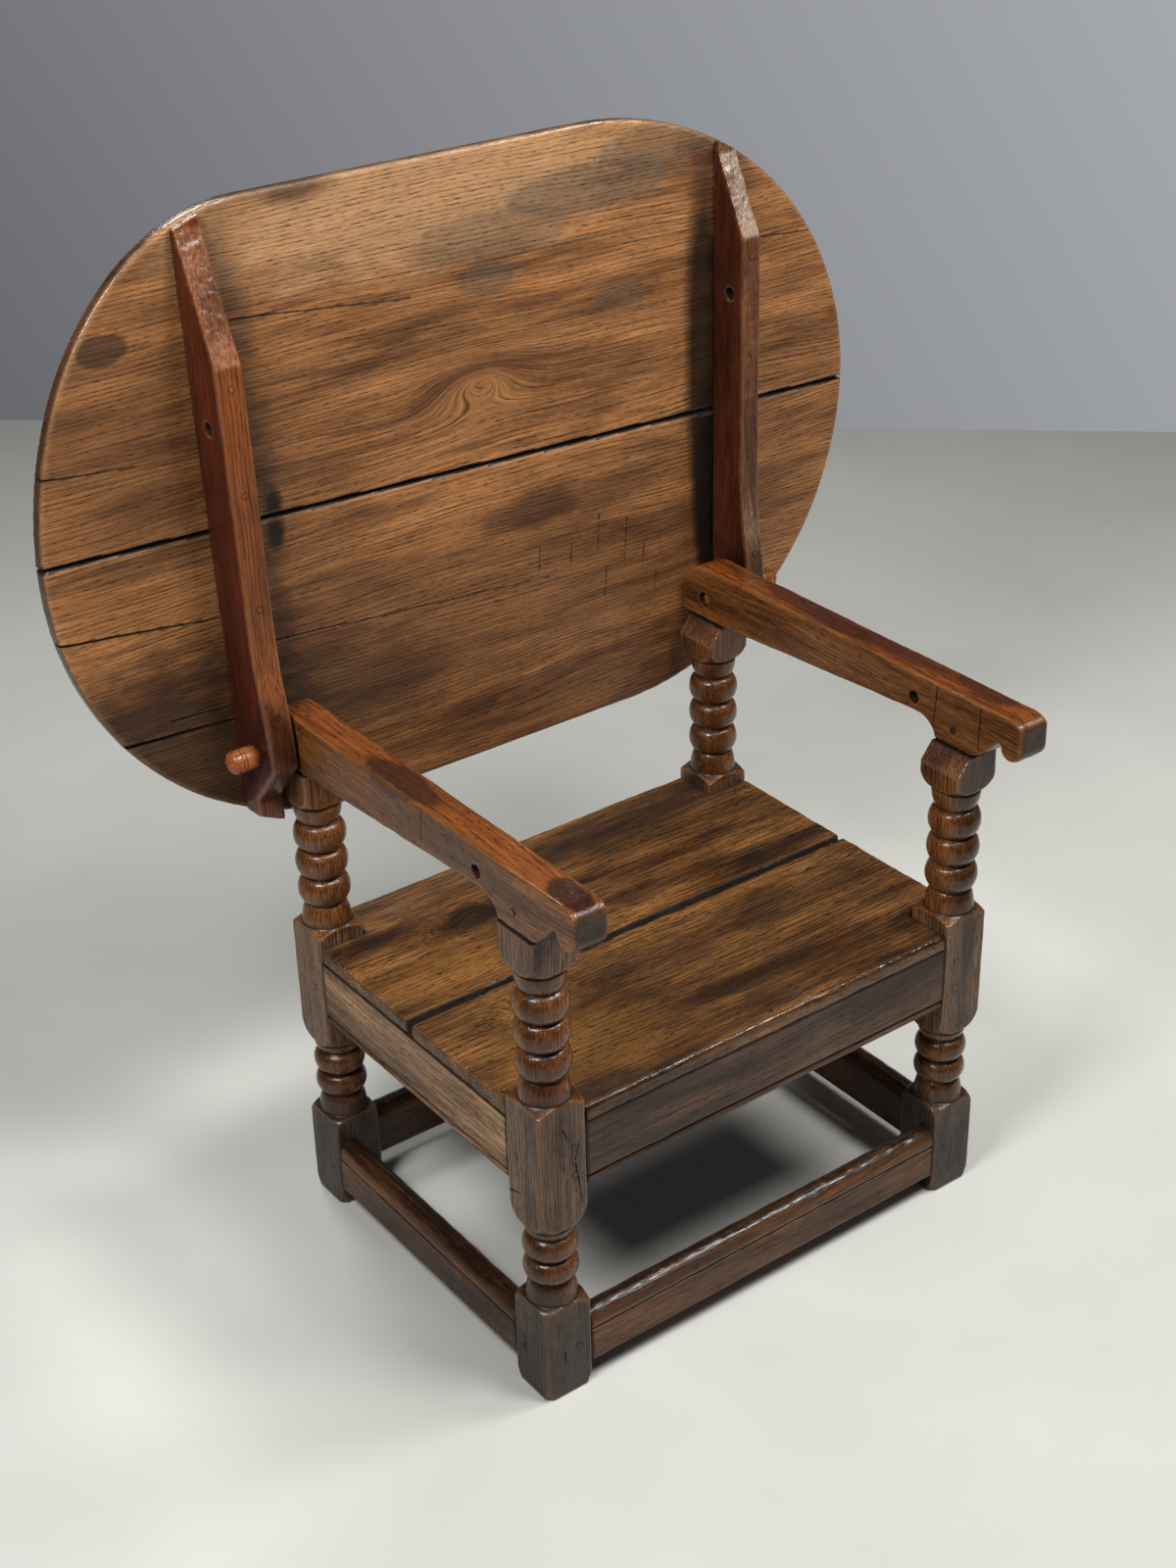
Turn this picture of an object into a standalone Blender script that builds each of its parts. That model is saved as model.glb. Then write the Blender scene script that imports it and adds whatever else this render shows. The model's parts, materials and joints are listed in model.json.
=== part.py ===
"""Oak chair-table: an armchair whose back tips forward on two pins and becomes a table top.

Metres, +Z up. The front faces -Y, and left is -X as seen by someone looking at the front.
The model stands on z = 0 and its origin lies under the middle of its bounding box.
"""

import math

import bmesh
import bpy
from mathutils import Matrix, Vector

# Frame of four posts
FRAME_WIDTH = 0.700
FRAME_DEPTH = 0.536
POST_SIZE = 0.0666
CLEARANCE = 0.0003

# Heights up a post: square foot, turning, square block, turning, square head
FOOT_HEIGHT = 0.137
LOWER_TURNING = 0.113
BLOCK_HEIGHT = 0.180
UPPER_TURNING = 0.175
HEAD_HEIGHT = 0.052

# Turned work
LOWER_BOBBINS = 2
UPPER_BOBBINS = 3
BOBBIN_RADIUS = 0.0326
NECK_RADIUS = 0.0245
NECK_FLAT = 0.004
COLLAR_RADIUS = 0.0312
COLLAR_LOW = 0.016
COLLAR_HIGH = 0.026
SHORT_SHOULDER = 0.012
MIDDLE_SHOULDER = 0.021
LONG_SHOULDER = 0.040
FOOT_WEAR_RADIUS = 0.041
FOOT_WEAR_HEIGHT = 0.030
CORNER_MARGIN = 0.0028

# Seat rails, flush with the posts' outer faces, with a bead run along the lower edge
RAIL_HEIGHT = 0.089
RAIL_THICKNESS = 0.026
RAIL_SETBACK = 0.0015
RAIL_TENON = 0.010
BEAD_HEIGHT = 0.011
QUIRK_WIDTH = 0.003
QUIRK_DEPTH = 0.0025

# Stretchers near the floor, with a rounded top above a quirk
STRETCHER_RISE = 0.030
STRETCHER_HEIGHT = 0.072
STRETCHER_THICKNESS = 0.034
STRETCHER_TENON = 0.012
STRETCHER_QUIRK_DROP = 0.022

# Tenons and the pegs driven through them
TENON_SHOULDER = 0.009
TENON_WALL = 0.008
PEG_RADIUS = 0.0046
PEG_LENGTH = 0.040
PEG_PROUD = 0.0006
PEG_SETBACK = 0.018
PEG_SPACING = 0.040
PEG_STAGGER = 0.011

# Seat of two boards, notched round the posts
SEAT_DROP = 0.020
SEAT_THICKNESS = 0.021
SEAT_SETBACK = 0.001
SEAT_JOINT = 0.004
SEAT_NOTCH_FIT = 0.001
SEAT_ROUND = 0.004
SEAT_PEG_INSET = 0.085
SEAT_PEG_BITE = 0.028

# Arms, tenoned on the post heads, with a notched scroll under the nose
ARM_WIDTH = 0.047
ARM_DEPTH = 0.077
ARM_OVERHANG = 0.079
ARM_RELIEF = 0.023
ARM_STEP = 0.030
ARM_PAD = 0.018
ARM_ARCH = 0.040
ARM_SCROLL_LIFT = 0.022
ARM_SCROLL_RADIUS = 0.012
ARM_NOSE_LENGTH = 0.026
ARM_NOSE_DROP = 0.013
ARM_ARRIS = 0.0025
HEAD_CHAMFER = 0.024
POST_TENON_WIDTH = 0.040
POST_TENON_THICKNESS = 0.020
POST_TENON_CAP = 0.012
LOCK_RADIUS = 0.0075
LOCK_REACH = 0.405
LOCK_DROP = 0.0345

# Pivot pins
PIVOT_DROP = 0.048
PIVOT_SETBACK = 0.005
PIN_RADIUS = 0.009
PIN_INSET = 0.008
PIN_NECK = 0.006
PIN_HEAD_RADIUS = 0.0145
PIN_HEAD_LENGTH = 0.034
PIN_DOME = 0.010
PIN_GROOVE = 0.0012
PIN_GROOVE_INNER = 0.013
PIN_GROOVE_OUTER = 0.018

# Tilting top of two boards on two battens, leaning back at rest
LEAN = math.radians(2.6)
TOP_LENGTH = 1.200
TOP_HEIGHT = 0.783
TOP_THICKNESS = 0.022
TOP_TAIL = 0.135
TOP_CORNER_UPPER_LEFT = 0.300
TOP_CORNER_UPPER_RIGHT = 0.425
TOP_CORNER_LOWER = 0.387
TOP_JOINT = 0.0025
TOP_JOINT_LEFT = 0.280
TOP_JOINT_RIGHT = 0.235
TOP_ROUND = 0.004

# Battens, shaped by hand, so the two differ
BATTEN_THICKNESS_LEFT = 0.036
BATTEN_THICKNESS_RIGHT = 0.030
BATTEN_DEPTH_LEFT = 0.068
BATTEN_DEPTH_RIGHT = 0.061
BATTEN_EYE_SWELL = 0.017
BATTEN_EYE_REACH = 0.150
BATTEN_TOE_DEPTH = 0.034
BATTEN_TOE_LENGTH = 0.055
BATTEN_TAPER_START = 0.480
BATTEN_TIP_DEPTH = 0.012
BATTEN_GAP = 0.003
BATTEN_INSET = 0.002
BATTEN_ARRIS = 0.0025
BATTEN_SPLAY_LEFT = math.radians(0.3)
BATTEN_SPLAY_RIGHT = math.radians(2.0)
BATTEN_PEGS = (0.055, 0.190, 0.330, 0.455)
BATTEN_PEG_BITE = 0.014

# Facets of the round work
TURN_SIDES = 16
PIN_SIDES = 16
PEG_SIDES = 8
BOBBIN_STEPS = 4
COLLAR_STEPS = 2
SHOULDER_STEPS = 2
LONG_SHOULDER_STEPS = 4
BEAD_STEPS = 5
STRETCHER_STEPS = 9
NOSE_STEPS = 5
SCROLL_STEPS = 4
RELIEF_STEPS = 5
TAIL_STEPS = 7
TOP_CORNER_STEPS = 9
EYE_STEPS = 6
DOME_STEPS = 4

# Heights and lines worked out from the sizes above
BLOCK_BASE = FOOT_HEIGHT + LOWER_TURNING
BLOCK_TOP = BLOCK_BASE + BLOCK_HEIGHT
HEAD_BASE = BLOCK_TOP + UPPER_TURNING
POST_TOP = HEAD_BASE + HEAD_HEIGHT
ARM_TOP = POST_TOP + ARM_DEPTH
SEAT_TOP = BLOCK_TOP - SEAT_DROP
SEAT_UNDERSIDE = SEAT_TOP - SEAT_THICKNESS
RAIL_TOP = SEAT_UNDERSIDE - CLEARANCE
RAIL_BASE = RAIL_TOP - RAIL_HEIGHT
HALF_WIDTH = FRAME_WIDTH / 2
HALF_DEPTH = FRAME_DEPTH / 2
HALF_POST = POST_SIZE / 2
CORNER_REACH = HALF_POST * math.sqrt(2) + CORNER_MARGIN
POST_X = HALF_WIDTH - HALF_POST
POST_Y = HALF_DEPTH - HALF_POST
ARM_X = HALF_WIDTH - ARM_WIDTH / 2

# The top swings just behind the rear posts' axes; its inner face clears the arms when it lies flat
PIVOT_Y = POST_Y + PIVOT_SETBACK
PIVOT_Z = ARM_TOP - PIVOT_DROP
BOARD_FACE = PIVOT_DROP + CLEARANCE
PIVOT_ABOVE_POST = ARM_DEPTH - PIVOT_DROP
ARM_TAIL = (BOARD_FACE - CLEARANCE - PIVOT_ABOVE_POST * math.sin(LEAN)) / math.cos(LEAN)
POST_TENON_HEIGHT = PIVOT_ABOVE_POST + PIN_RADIUS + POST_TENON_CAP
HALF_LENGTH = TOP_LENGTH / 2
HALF_HEIGHT = TOP_HEIGHT / 2
TOP_CENTRE = HALF_HEIGHT - TOP_TAIL

# The bounding box runs from the arms' noses to the top's upper rear edge
FRONT_REACH = HALF_DEPTH + ARM_OVERHANG
TOP_REAR_OFFSET = (BOARD_FACE + TOP_THICKNESS) * math.cos(LEAN)
TOP_REAR_HEIGHT = TOP_HEIGHT - TOP_TAIL - TOP_ROUND
REAR_REACH = PIVOT_Y + TOP_REAR_OFFSET + TOP_REAR_HEIGHT * math.sin(LEAN)
ORIGIN_SHIFT = (FRONT_REACH - REAR_REACH) / 2

SIDES = {"left": -1, "right": 1}
ENDS = {"front": -1, "rear": 1}


def linear(hex_colour):
    """Linear RGB of an sRGB colour written as #rrggbb."""
    channels = [int(hex_colour[i:i + 2], 16) / 255 for i in (1, 3, 5)]
    return [c / 12.92 if c <= 0.04045 else ((c + 0.055) / 1.055) ** 2.4 for c in channels]


def oak(name, hex_colour, roughness):
    """Old waxed oak: one colour and one gloss."""
    material = bpy.data.materials.new(name)
    material.use_nodes = True
    shader = material.node_tree.nodes["Principled BSDF"]
    shader.inputs["Base Color"].default_value = (*linear(hex_colour), 1.0)
    shader.inputs["Roughness"].default_value = roughness
    shader.inputs["Metallic"].default_value = 0.0
    return material


def solid(name, bm):
    """Turns a bmesh into a named object in the scene."""
    bmesh.ops.recalc_face_normals(bm, faces=bm.faces)
    mesh = bpy.data.meshes.new(name)
    bm.to_mesh(mesh)
    bm.free()
    piece = bpy.data.objects.new(name, mesh)
    bpy.context.scene.collection.objects.link(piece)
    return piece


def add_box(bm, corner, opposite):
    """Adds a box between two opposite corners."""
    corner = Vector(corner)
    opposite = Vector(opposite)
    size = [abs(b - a) for a, b in zip(corner, opposite)]
    verts = bmesh.ops.create_cube(bm, size=1.0)["verts"]
    bmesh.ops.scale(bm, vec=size, verts=verts)
    bmesh.ops.translate(bm, vec=(corner + opposite) / 2, verts=verts)


def add_rod(bm, start, end, radius, sides=PEG_SIDES):
    """Adds a capped cylinder between two points."""
    start = Vector(start)
    end = Vector(end)
    turn = (end - start).to_track_quat("Z", "Y").to_matrix().to_4x4()
    place = Matrix.Translation((start + end) / 2) @ turn
    bmesh.ops.create_cone(bm, cap_ends=True, segments=sides, radius1=radius, radius2=radius,
                          depth=(end - start).length, matrix=place)


def prism(name, outline, place, start, end):
    """Extrudes a flat outline: place(u, v, depth) gives a corner in space."""
    bm = bmesh.new()
    face = bm.faces.new([bm.verts.new(place(u, v, start)) for u, v in outline])
    shift = Vector(place(*outline[0], end)) - Vector(place(*outline[0], start))
    made = bmesh.ops.extrude_face_region(bm, geom=[face])["geom"]
    bmesh.ops.translate(bm, vec=shift, verts=[v for v in made if isinstance(v, bmesh.types.BMVert)])
    return solid(name, bm)


def along_x(u, v, depth):
    return (depth, u, v)


def along_y(u, v, depth):
    return (u, depth, v)


def along_z(u, v, depth):
    return (u, v, depth)


def turned(name, profile, sides):
    """Revolves (radius, height) points that start and end on the Z axis, with flats facing X and Y."""
    bm = bmesh.new()
    start = Matrix.Rotation(math.pi / sides, 3, "Z")
    verts = [bm.verts.new(start @ Vector((radius, 0, height))) for radius, height in profile]
    edges = [bm.edges.new(pair) for pair in zip(verts, verts[1:])]
    bmesh.ops.spin(bm, geom=verts + edges, cent=(0, 0, 0), axis=(0, 0, 1), angle=math.tau,
                   steps=sides, use_merge=True)
    bmesh.ops.remove_doubles(bm, verts=bm.verts, dist=1e-6)
    return solid(name, bm)


def combine(piece, tool, operation):
    """Applies a Boolean to the piece and removes the tool."""
    modifier = piece.modifiers.new("cut", "BOOLEAN")
    modifier.operation = operation
    modifier.solver = "EXACT"
    modifier.object = tool
    with bpy.context.temp_override(object=piece, active_object=piece, selected_objects=[piece]):
        bpy.ops.object.modifier_apply(modifier=modifier.name)
    bpy.data.objects.remove(tool, do_unlink=True)


def bore(piece, rods, sides=PEG_SIDES):
    """Cuts round holes, each given by its two ends and its radius."""
    bm = bmesh.new()
    for start, end, radius in rods:
        add_rod(bm, start, end, radius, sides)
    combine(piece, solid("drill", bm), "DIFFERENCE")


def chop(piece, boxes, operation="DIFFERENCE"):
    """Cuts mortises or adds tenons, each given by two opposite corners."""
    bm = bmesh.new()
    for corner, opposite in boxes:
        add_box(bm, corner, opposite)
    combine(piece, solid("chisel", bm), operation)


def soften(piece, width, segments, wanted):
    """Rounds the edges whose two ends both pass the test."""
    bm = bmesh.new()
    bm.from_mesh(piece.data)
    edges = [e for e in bm.edges if wanted(e.verts[0].co, e.verts[1].co)]
    bmesh.ops.bevel(bm, geom=edges, offset=width, segments=segments, affect="EDGES", profile=0.5)
    bm.to_mesh(piece.data)
    bm.free()


def grown(corner, opposite, margin):
    """The same box, larger by a margin on every side."""
    low = [min(pair) - margin for pair in zip(corner, opposite)]
    high = [max(pair) + margin for pair in zip(corner, opposite)]
    return low, high


def finish(piece, material, smooth_angle=35):
    """Shades the piece and gives it its material."""
    piece.data.shade_smooth()
    piece.data.set_sharp_from_angle(angle=math.radians(smooth_angle))
    piece.data.materials.append(material)
    return piece


def arc(centre, radii, start, end, steps):
    """Points on an ellipse between two angles in degrees."""
    angles = [math.radians(start + (end - start) * i / steps) for i in range(steps + 1)]
    return [(centre[0] + radii[0] * math.cos(a), centre[1] + radii[1] * math.sin(a)) for a in angles]


# Joints between rails, stretchers and posts

class Joinery:
    """Where one kind of rail meets the posts: its height, thickness, tenon and pegs."""

    def __init__(self, base, height, thickness, tenon, top_shoulder, across_heights, along_heights):
        self.base = base
        self.top = base + height
        self.thickness = thickness
        self.tenon = tenon
        self.tenon_base = base + TENON_SHOULDER
        self.tenon_top = self.top - top_shoulder
        self.across_heights = across_heights
        self.along_heights = along_heights
        self.offset = HALF_POST - RAIL_SETBACK - thickness / 2
        self.length = HALF_POST + self.offset - tenon / 2 - TENON_WALL

    def across(self, side, end):
        """The tenon of a front or rear piece in the post at one side, as two corners."""
        shoulder = side * (HALF_WIDTH - POST_SIZE)
        y = end * (POST_Y + self.offset)
        return ((shoulder, y - self.tenon / 2, self.tenon_base),
                (shoulder + side * self.length, y + self.tenon / 2, self.tenon_top))

    def along(self, side, end):
        """The tenon of a side piece in the post at one end, as two corners."""
        shoulder = end * (HALF_DEPTH - POST_SIZE)
        x = side * (POST_X + self.offset)
        return ((x - self.tenon / 2, shoulder, self.tenon_base),
                (x + self.tenon / 2, shoulder + end * self.length, self.tenon_top))

    def across_pegs(self, side, end):
        """Pegs through the post's front or rear face."""
        x = side * (HALF_WIDTH - POST_SIZE + PEG_SETBACK)
        face = end * (HALF_DEPTH + PEG_PROUD)
        return [((x, face, z), (x, face - end * PEG_LENGTH, z)) for z in self.across_heights]

    def along_pegs(self, side, end):
        """Pegs through the post's outer side face, at heights between the others."""
        y = end * (HALF_DEPTH - POST_SIZE + PEG_SETBACK)
        face = side * (HALF_WIDTH + PEG_PROUD)
        return [((face, y, z), (face - side * PEG_LENGTH, y, z)) for z in self.along_heights]


RAIL_MIDDLE = (RAIL_TOP + RAIL_BASE) / 2
RAIL_JOINERY = Joinery(RAIL_BASE, RAIL_HEIGHT, RAIL_THICKNESS, RAIL_TENON, TENON_SHOULDER,
                       (RAIL_MIDDLE - PEG_SPACING / 2, RAIL_MIDDLE + PEG_SPACING / 2), (RAIL_MIDDLE,))
STRETCHER_MIDDLE = STRETCHER_RISE + (STRETCHER_HEIGHT - STRETCHER_THICKNESS / 2 + TENON_SHOULDER) / 2
STRETCHER_JOINERY = Joinery(STRETCHER_RISE, STRETCHER_HEIGHT, STRETCHER_THICKNESS, STRETCHER_TENON,
                            STRETCHER_THICKNESS / 2, (STRETCHER_MIDDLE + PEG_STAGGER / 2,),
                            (STRETCHER_MIDDLE - PEG_STAGGER / 2,))


def peg_hole(peg):
    """The hole for a peg, a clearance wider and deeper than the peg."""
    start, end = Vector(peg[0]), Vector(peg[1])
    return start, end + (end - start).normalized() * CLEARANCE, PEG_RADIUS + CLEARANCE


def arm_peg(side):
    """The peg right through an arm and the front post's tenon."""
    height = POST_TOP + POST_TENON_HEIGHT / 2
    outer = side * (HALF_WIDTH + PEG_PROUD)
    inner = side * (HALF_WIDTH - ARM_WIDTH - PEG_PROUD)
    return (outer, -POST_Y, height), (inner, -POST_Y, height)


def seat_peg(side, end):
    """The peg through one end of a seat board into a side rail."""
    x = side * (POST_X + RAIL_JOINERY.offset)
    y = end * (HALF_DEPTH - SEAT_SETBACK - SEAT_PEG_INSET)
    return (x, y, SEAT_TOP + PEG_PROUD), (x, y, SEAT_UNDERSIDE - SEAT_PEG_BITE)


# Posts

def shoulder(corner_height, collar_height, steps=SHOULDER_STEPS):
    """A rounded shoulder from past the stock's corners in to a collar."""
    radii = (CORNER_REACH - COLLAR_RADIUS, collar_height - corner_height)
    return arc((COLLAR_RADIUS, corner_height), radii, 0, 90, steps)


def turning(base, top, bobbins):
    """A collar, a row of bobbins and a collar, as (radius, height) points going up."""
    swell = COLLAR_RADIUS - NECK_RADIUS
    points = arc((NECK_RADIUS, base), (swell, COLLAR_LOW), 0, 90, COLLAR_STEPS)
    first = base + COLLAR_LOW
    pitch = (top - COLLAR_HIGH - first) / bobbins
    bobbin = (BOBBIN_RADIUS - NECK_RADIUS, (pitch - NECK_FLAT) / 2)
    for i in range(bobbins):
        middle = first + pitch * (i + 0.5)
        points += arc((NECK_RADIUS, middle), bobbin, -90, 90, BOBBIN_STEPS)
    points += arc((NECK_RADIUS, top), (swell, COLLAR_HIGH), -90, 0, COLLAR_STEPS)
    return points


def post_profile():
    """Outline of the turned stick, wider than the stock wherever the stock stays square."""
    past_end = POST_SIZE
    points = [(0, -past_end), (FOOT_WEAR_RADIUS, -past_end), (FOOT_WEAR_RADIUS, 0)]
    points += [(CORNER_REACH, FOOT_WEAR_HEIGHT)]
    points += shoulder(FOOT_HEIGHT - MIDDLE_SHOULDER, FOOT_HEIGHT)
    points += turning(FOOT_HEIGHT, BLOCK_BASE, LOWER_BOBBINS)[1:-1]
    points += shoulder(BLOCK_BASE + LONG_SHOULDER, BLOCK_BASE, LONG_SHOULDER_STEPS)[::-1]
    points += shoulder(BLOCK_TOP - SHORT_SHOULDER, BLOCK_TOP)
    points += turning(BLOCK_TOP, HEAD_BASE, UPPER_BOBBINS)[1:-1]
    points += shoulder(HEAD_BASE + MIDDLE_SHOULDER, HEAD_BASE)[::-1]
    points += [(CORNER_REACH, POST_TOP + past_end), (0, POST_TOP + past_end)]
    return points


def post_tenon(side, end):
    """The tenon on a post's head, in the middle of the arm's width."""
    x = side * ARM_X
    y = end * POST_Y
    return ((x - POST_TENON_THICKNESS / 2, y - POST_TENON_WIDTH / 2, POST_TOP),
            (x + POST_TENON_THICKNESS / 2, y + POST_TENON_WIDTH / 2, POST_TOP + POST_TENON_HEIGHT))


def pin_hole(side):
    """The hole for a pivot pin, right across an arm."""
    across = side * FRAME_WIDTH
    return (0, PIVOT_Y, PIVOT_Z), (across, PIVOT_Y, PIVOT_Z), PIN_RADIUS + CLEARANCE


def make_post(name, side, end):
    """One bobbin-turned post: squares left in the stock, mortises, and a tenon for the arm."""
    post = turned(name, post_profile(), TURN_SIDES)
    post.location = (side * POST_X, end * POST_Y, 0)
    stock = bmesh.new()
    inner = (side * (HALF_WIDTH - POST_SIZE), end * (HALF_DEPTH - POST_SIZE), 0)
    add_box(stock, inner, (side * HALF_WIDTH, end * HALF_DEPTH, POST_TOP))
    combine(post, solid("stock", stock), "INTERSECT")

    beside_arm = HALF_WIDTH - ARM_WIDTH
    past_post = side * (beside_arm - POST_SIZE)
    fall = HEAD_CHAMFER * POST_SIZE / (POST_SIZE - ARM_WIDTH)
    slope = [(past_post, POST_TOP - fall), (side * beside_arm, POST_TOP), (past_post, POST_TOP)]
    face = end * HALF_DEPTH
    wedge = prism("wedge", slope, along_y, face - POST_SIZE * 2, face + POST_SIZE * 2)
    combine(post, wedge, "DIFFERENCE")

    low, high = post_tenon(side, end)
    chop(post, [((low[0], low[1], POST_TOP - HEAD_CHAMFER), high)], "UNION")
    mortises = []
    pegs = []
    for joinery in (RAIL_JOINERY, STRETCHER_JOINERY):
        mortises.append(grown(*joinery.across(side, end), CLEARANCE))
        mortises.append(grown(*joinery.along(side, end), CLEARANCE))
        pegs += joinery.across_pegs(side, end) + joinery.along_pegs(side, end)
    chop(post, mortises)
    bore(post, [peg_hole(peg) for peg in pegs])
    if end == ENDS["rear"]:
        bore(post, [pin_hole(side)], PIN_SIDES)
    else:
        bore(post, [peg_hole(arm_peg(side))])
    return post


# Rails and stretchers

def rail_outline():
    """Section of a seat rail: u runs in from the outer face, v up from the bottom."""
    quirk = BEAD_HEIGHT + QUIRK_WIDTH
    round_edge = (BEAD_HEIGHT / 2, BEAD_HEIGHT / 2)
    bead = arc(round_edge, round_edge, 90, 270, BEAD_STEPS)
    return [(0, RAIL_HEIGHT), (0, quirk), (QUIRK_DEPTH, quirk), (QUIRK_DEPTH, BEAD_HEIGHT)] + bead + [
        (RAIL_THICKNESS, 0), (RAIL_THICKNESS, RAIL_HEIGHT)]


def stretcher_outline():
    """Section of a stretcher: a flat outer face, a quirk, and a rounded top."""
    radius = STRETCHER_THICKNESS / 2
    quirk = STRETCHER_HEIGHT - STRETCHER_QUIRK_DROP
    top = arc((radius, STRETCHER_HEIGHT - radius), (radius, radius), 0, 180, STRETCHER_STEPS)
    return [(0, 0), (STRETCHER_THICKNESS, 0)] + top + [
        (QUIRK_DEPTH, quirk), (QUIRK_DEPTH, quirk - QUIRK_WIDTH), (0, quirk - QUIRK_WIDTH)]


def make_across(name, end, joinery, outline):
    """A front or rear rail or stretcher, with its two tenons and their peg holes."""
    face = HALF_DEPTH - RAIL_SETBACK
    half = HALF_WIDTH - POST_SIZE - CLEARANCE
    section = [(end * (face - u), joinery.base + v) for u, v in outline]
    piece = prism(name, section, along_x, -half, half)
    tenons = []
    pegs = []
    for side in SIDES.values():
        low, high = joinery.across(side, end)
        root = (low[0] - side * joinery.tenon, low[1], low[2])
        tenons.append((root, high))
        pegs += joinery.across_pegs(side, end)
    chop(piece, tenons, "UNION")
    bore(piece, [peg_hole(peg) for peg in pegs])
    return piece


def make_along(name, side, joinery, outline):
    """A side rail or stretcher, with its two tenons and their peg holes."""
    face = HALF_WIDTH - RAIL_SETBACK
    half = HALF_DEPTH - POST_SIZE - CLEARANCE
    section = [(side * (face - u), joinery.base + v) for u, v in outline]
    piece = prism(name, section, along_y, -half, half)
    tenons = []
    pegs = []
    for end in ENDS.values():
        low, high = joinery.along(side, end)
        root = (low[0], low[1] - end * joinery.tenon, low[2])
        tenons.append((root, high))
        pegs += joinery.along_pegs(side, end)
    chop(piece, tenons, "UNION")
    bore(piece, [peg_hole(peg) for peg in pegs])
    return piece


# Seat

def make_seat_board(name, end):
    """One seat board: square notches round two posts, a worn long edge, and peg holes."""
    long_edge = HALF_DEPTH - SEAT_SETBACK
    joint = SEAT_JOINT / 2
    half = HALF_WIDTH - SEAT_SETBACK
    notch_x = HALF_WIDTH - POST_SIZE - SEAT_NOTCH_FIT
    notch_y = HALF_DEPTH - POST_SIZE - SEAT_NOTCH_FIT
    corners = [(-half, joint), (half, joint), (half, notch_y), (notch_x, notch_y), (notch_x, long_edge),
               (-notch_x, long_edge), (-notch_x, notch_y), (-half, notch_y)]
    board = prism(name, [(x, end * y) for x, y in corners], along_z, SEAT_UNDERSIDE, SEAT_TOP)

    def worn(a, b):
        on_top = min(a.z, b.z) > SEAT_TOP - SEAT_ROUND
        on_long_edge = min(abs(a.y), abs(b.y)) > long_edge - SEAT_ROUND
        return on_top and on_long_edge

    soften(board, SEAT_ROUND, 3, worn)
    bore(board, [peg_hole(seat_peg(side, end)) for side in SIDES.values()])
    return board


# Arms

def arm_outline():
    """Side view of an arm as (y, z): level top, notched scroll, relieved underside, rounded tail."""
    pad = POST_TOP + CLEARANCE
    nose = -FRONT_REACH
    notch = nose + ARM_NOSE_LENGTH
    pad_front = -HALF_DEPTH - ARM_PAD
    pad_back = -HALF_DEPTH + POST_SIZE
    scroll = pad + ARM_SCROLL_LIFT
    points = arc((notch, ARM_TOP - ARM_NOSE_DROP), (ARM_NOSE_LENGTH, ARM_NOSE_DROP), 90, 180, NOSE_STEPS)
    points += [(nose, scroll)]
    points += arc((notch - ARM_SCROLL_RADIUS, scroll + ARM_SCROLL_RADIUS),
                  (ARM_SCROLL_RADIUS, ARM_SCROLL_RADIUS), 270, 360, SCROLL_STEPS)
    points += [(notch, pad + ARM_ARCH)]
    for i in range(1, SCROLL_STEPS + 1):
        share = i / SCROLL_STEPS
        height = pad + ARM_ARCH * (0.5 + 0.5 * math.cos(math.pi * share))
        points.append((notch + (pad_front - notch) * share, height))
    points += arc((pad_back + ARM_STEP, pad), (ARM_STEP, ARM_RELIEF), 180, 90, RELIEF_STEPS)
    points += [(HALF_DEPTH - POST_SIZE, pad), (PIVOT_Y + ARM_TAIL, pad)]
    flat_end = math.degrees(math.acos(ARM_TAIL / PIVOT_DROP))
    points += arc((PIVOT_Y, PIVOT_Z), (PIVOT_DROP, PIVOT_DROP), flat_end, 90, TAIL_STEPS)
    return points


def lock_hole(side):
    """The hole across an arm for the pin that locks the top when it lies flat."""
    y = PIVOT_Y - LOCK_REACH
    z = ARM_TOP - LOCK_DROP
    return (0, y, z), (side * FRAME_WIDTH, y, z), LOCK_RADIUS


def make_arm(name, side):
    """One arm, with mortises for two posts and holes for its peg, its pivot and its lock."""
    arm = prism(name, arm_outline(), along_x, side * (HALF_WIDTH - ARM_WIDTH), side * HALF_WIDTH)

    def arris(a, b):
        return abs(a.x - b.x) < CLEARANCE

    soften(arm, ARM_ARRIS, 1, arris)
    mortises = []
    for end in ENDS.values():
        low, high = post_tenon(side, end)
        mortises.append(grown((low[0], low[1], POST_TOP - CLEARANCE), high, CLEARANCE))
    chop(arm, mortises)
    bore(arm, [pin_hole(side), lock_hole(side)], PIN_SIDES)
    bore(arm, [peg_hole(arm_peg(side))])
    return arm


# Tilting top, modelled about its pivot: z runs up the boards and y to the rear

def top_outline(inset):
    """The top's outline as (x, z), drawn in from its rim: four rounded corners of unlike length."""
    corners = ((1, -90, TOP_CORNER_LOWER), (1, 0, TOP_CORNER_UPPER_RIGHT),
               (-1, 90, TOP_CORNER_UPPER_LEFT), (-1, 180, TOP_CORNER_LOWER))
    points = []
    for way, start, length in corners:
        centre = (way * (HALF_LENGTH - length), TOP_CENTRE)
        quarter = arc(centre, (length - inset, HALF_HEIGHT - inset), start, start + 90, TOP_CORNER_STEPS)
        points += quarter if start % 180 else quarter[1:]
    return points


def top_edge(side, x):
    """Height of the outline's upper edge at x on one side."""
    length = TOP_CORNER_UPPER_LEFT if side == "left" else TOP_CORNER_UPPER_RIGHT
    past_straight = max(abs(x) - (HALF_LENGTH - length), 0.0)
    return TOP_CENTRE + HALF_HEIGHT * math.sqrt(1 - (past_straight / length) ** 2)


def joint_height(x):
    """Height of the slanting joint between the two tapered boards."""
    share = x / TOP_LENGTH + 0.5
    return TOP_JOINT_LEFT + (TOP_JOINT_RIGHT - TOP_JOINT_LEFT) * share


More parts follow.
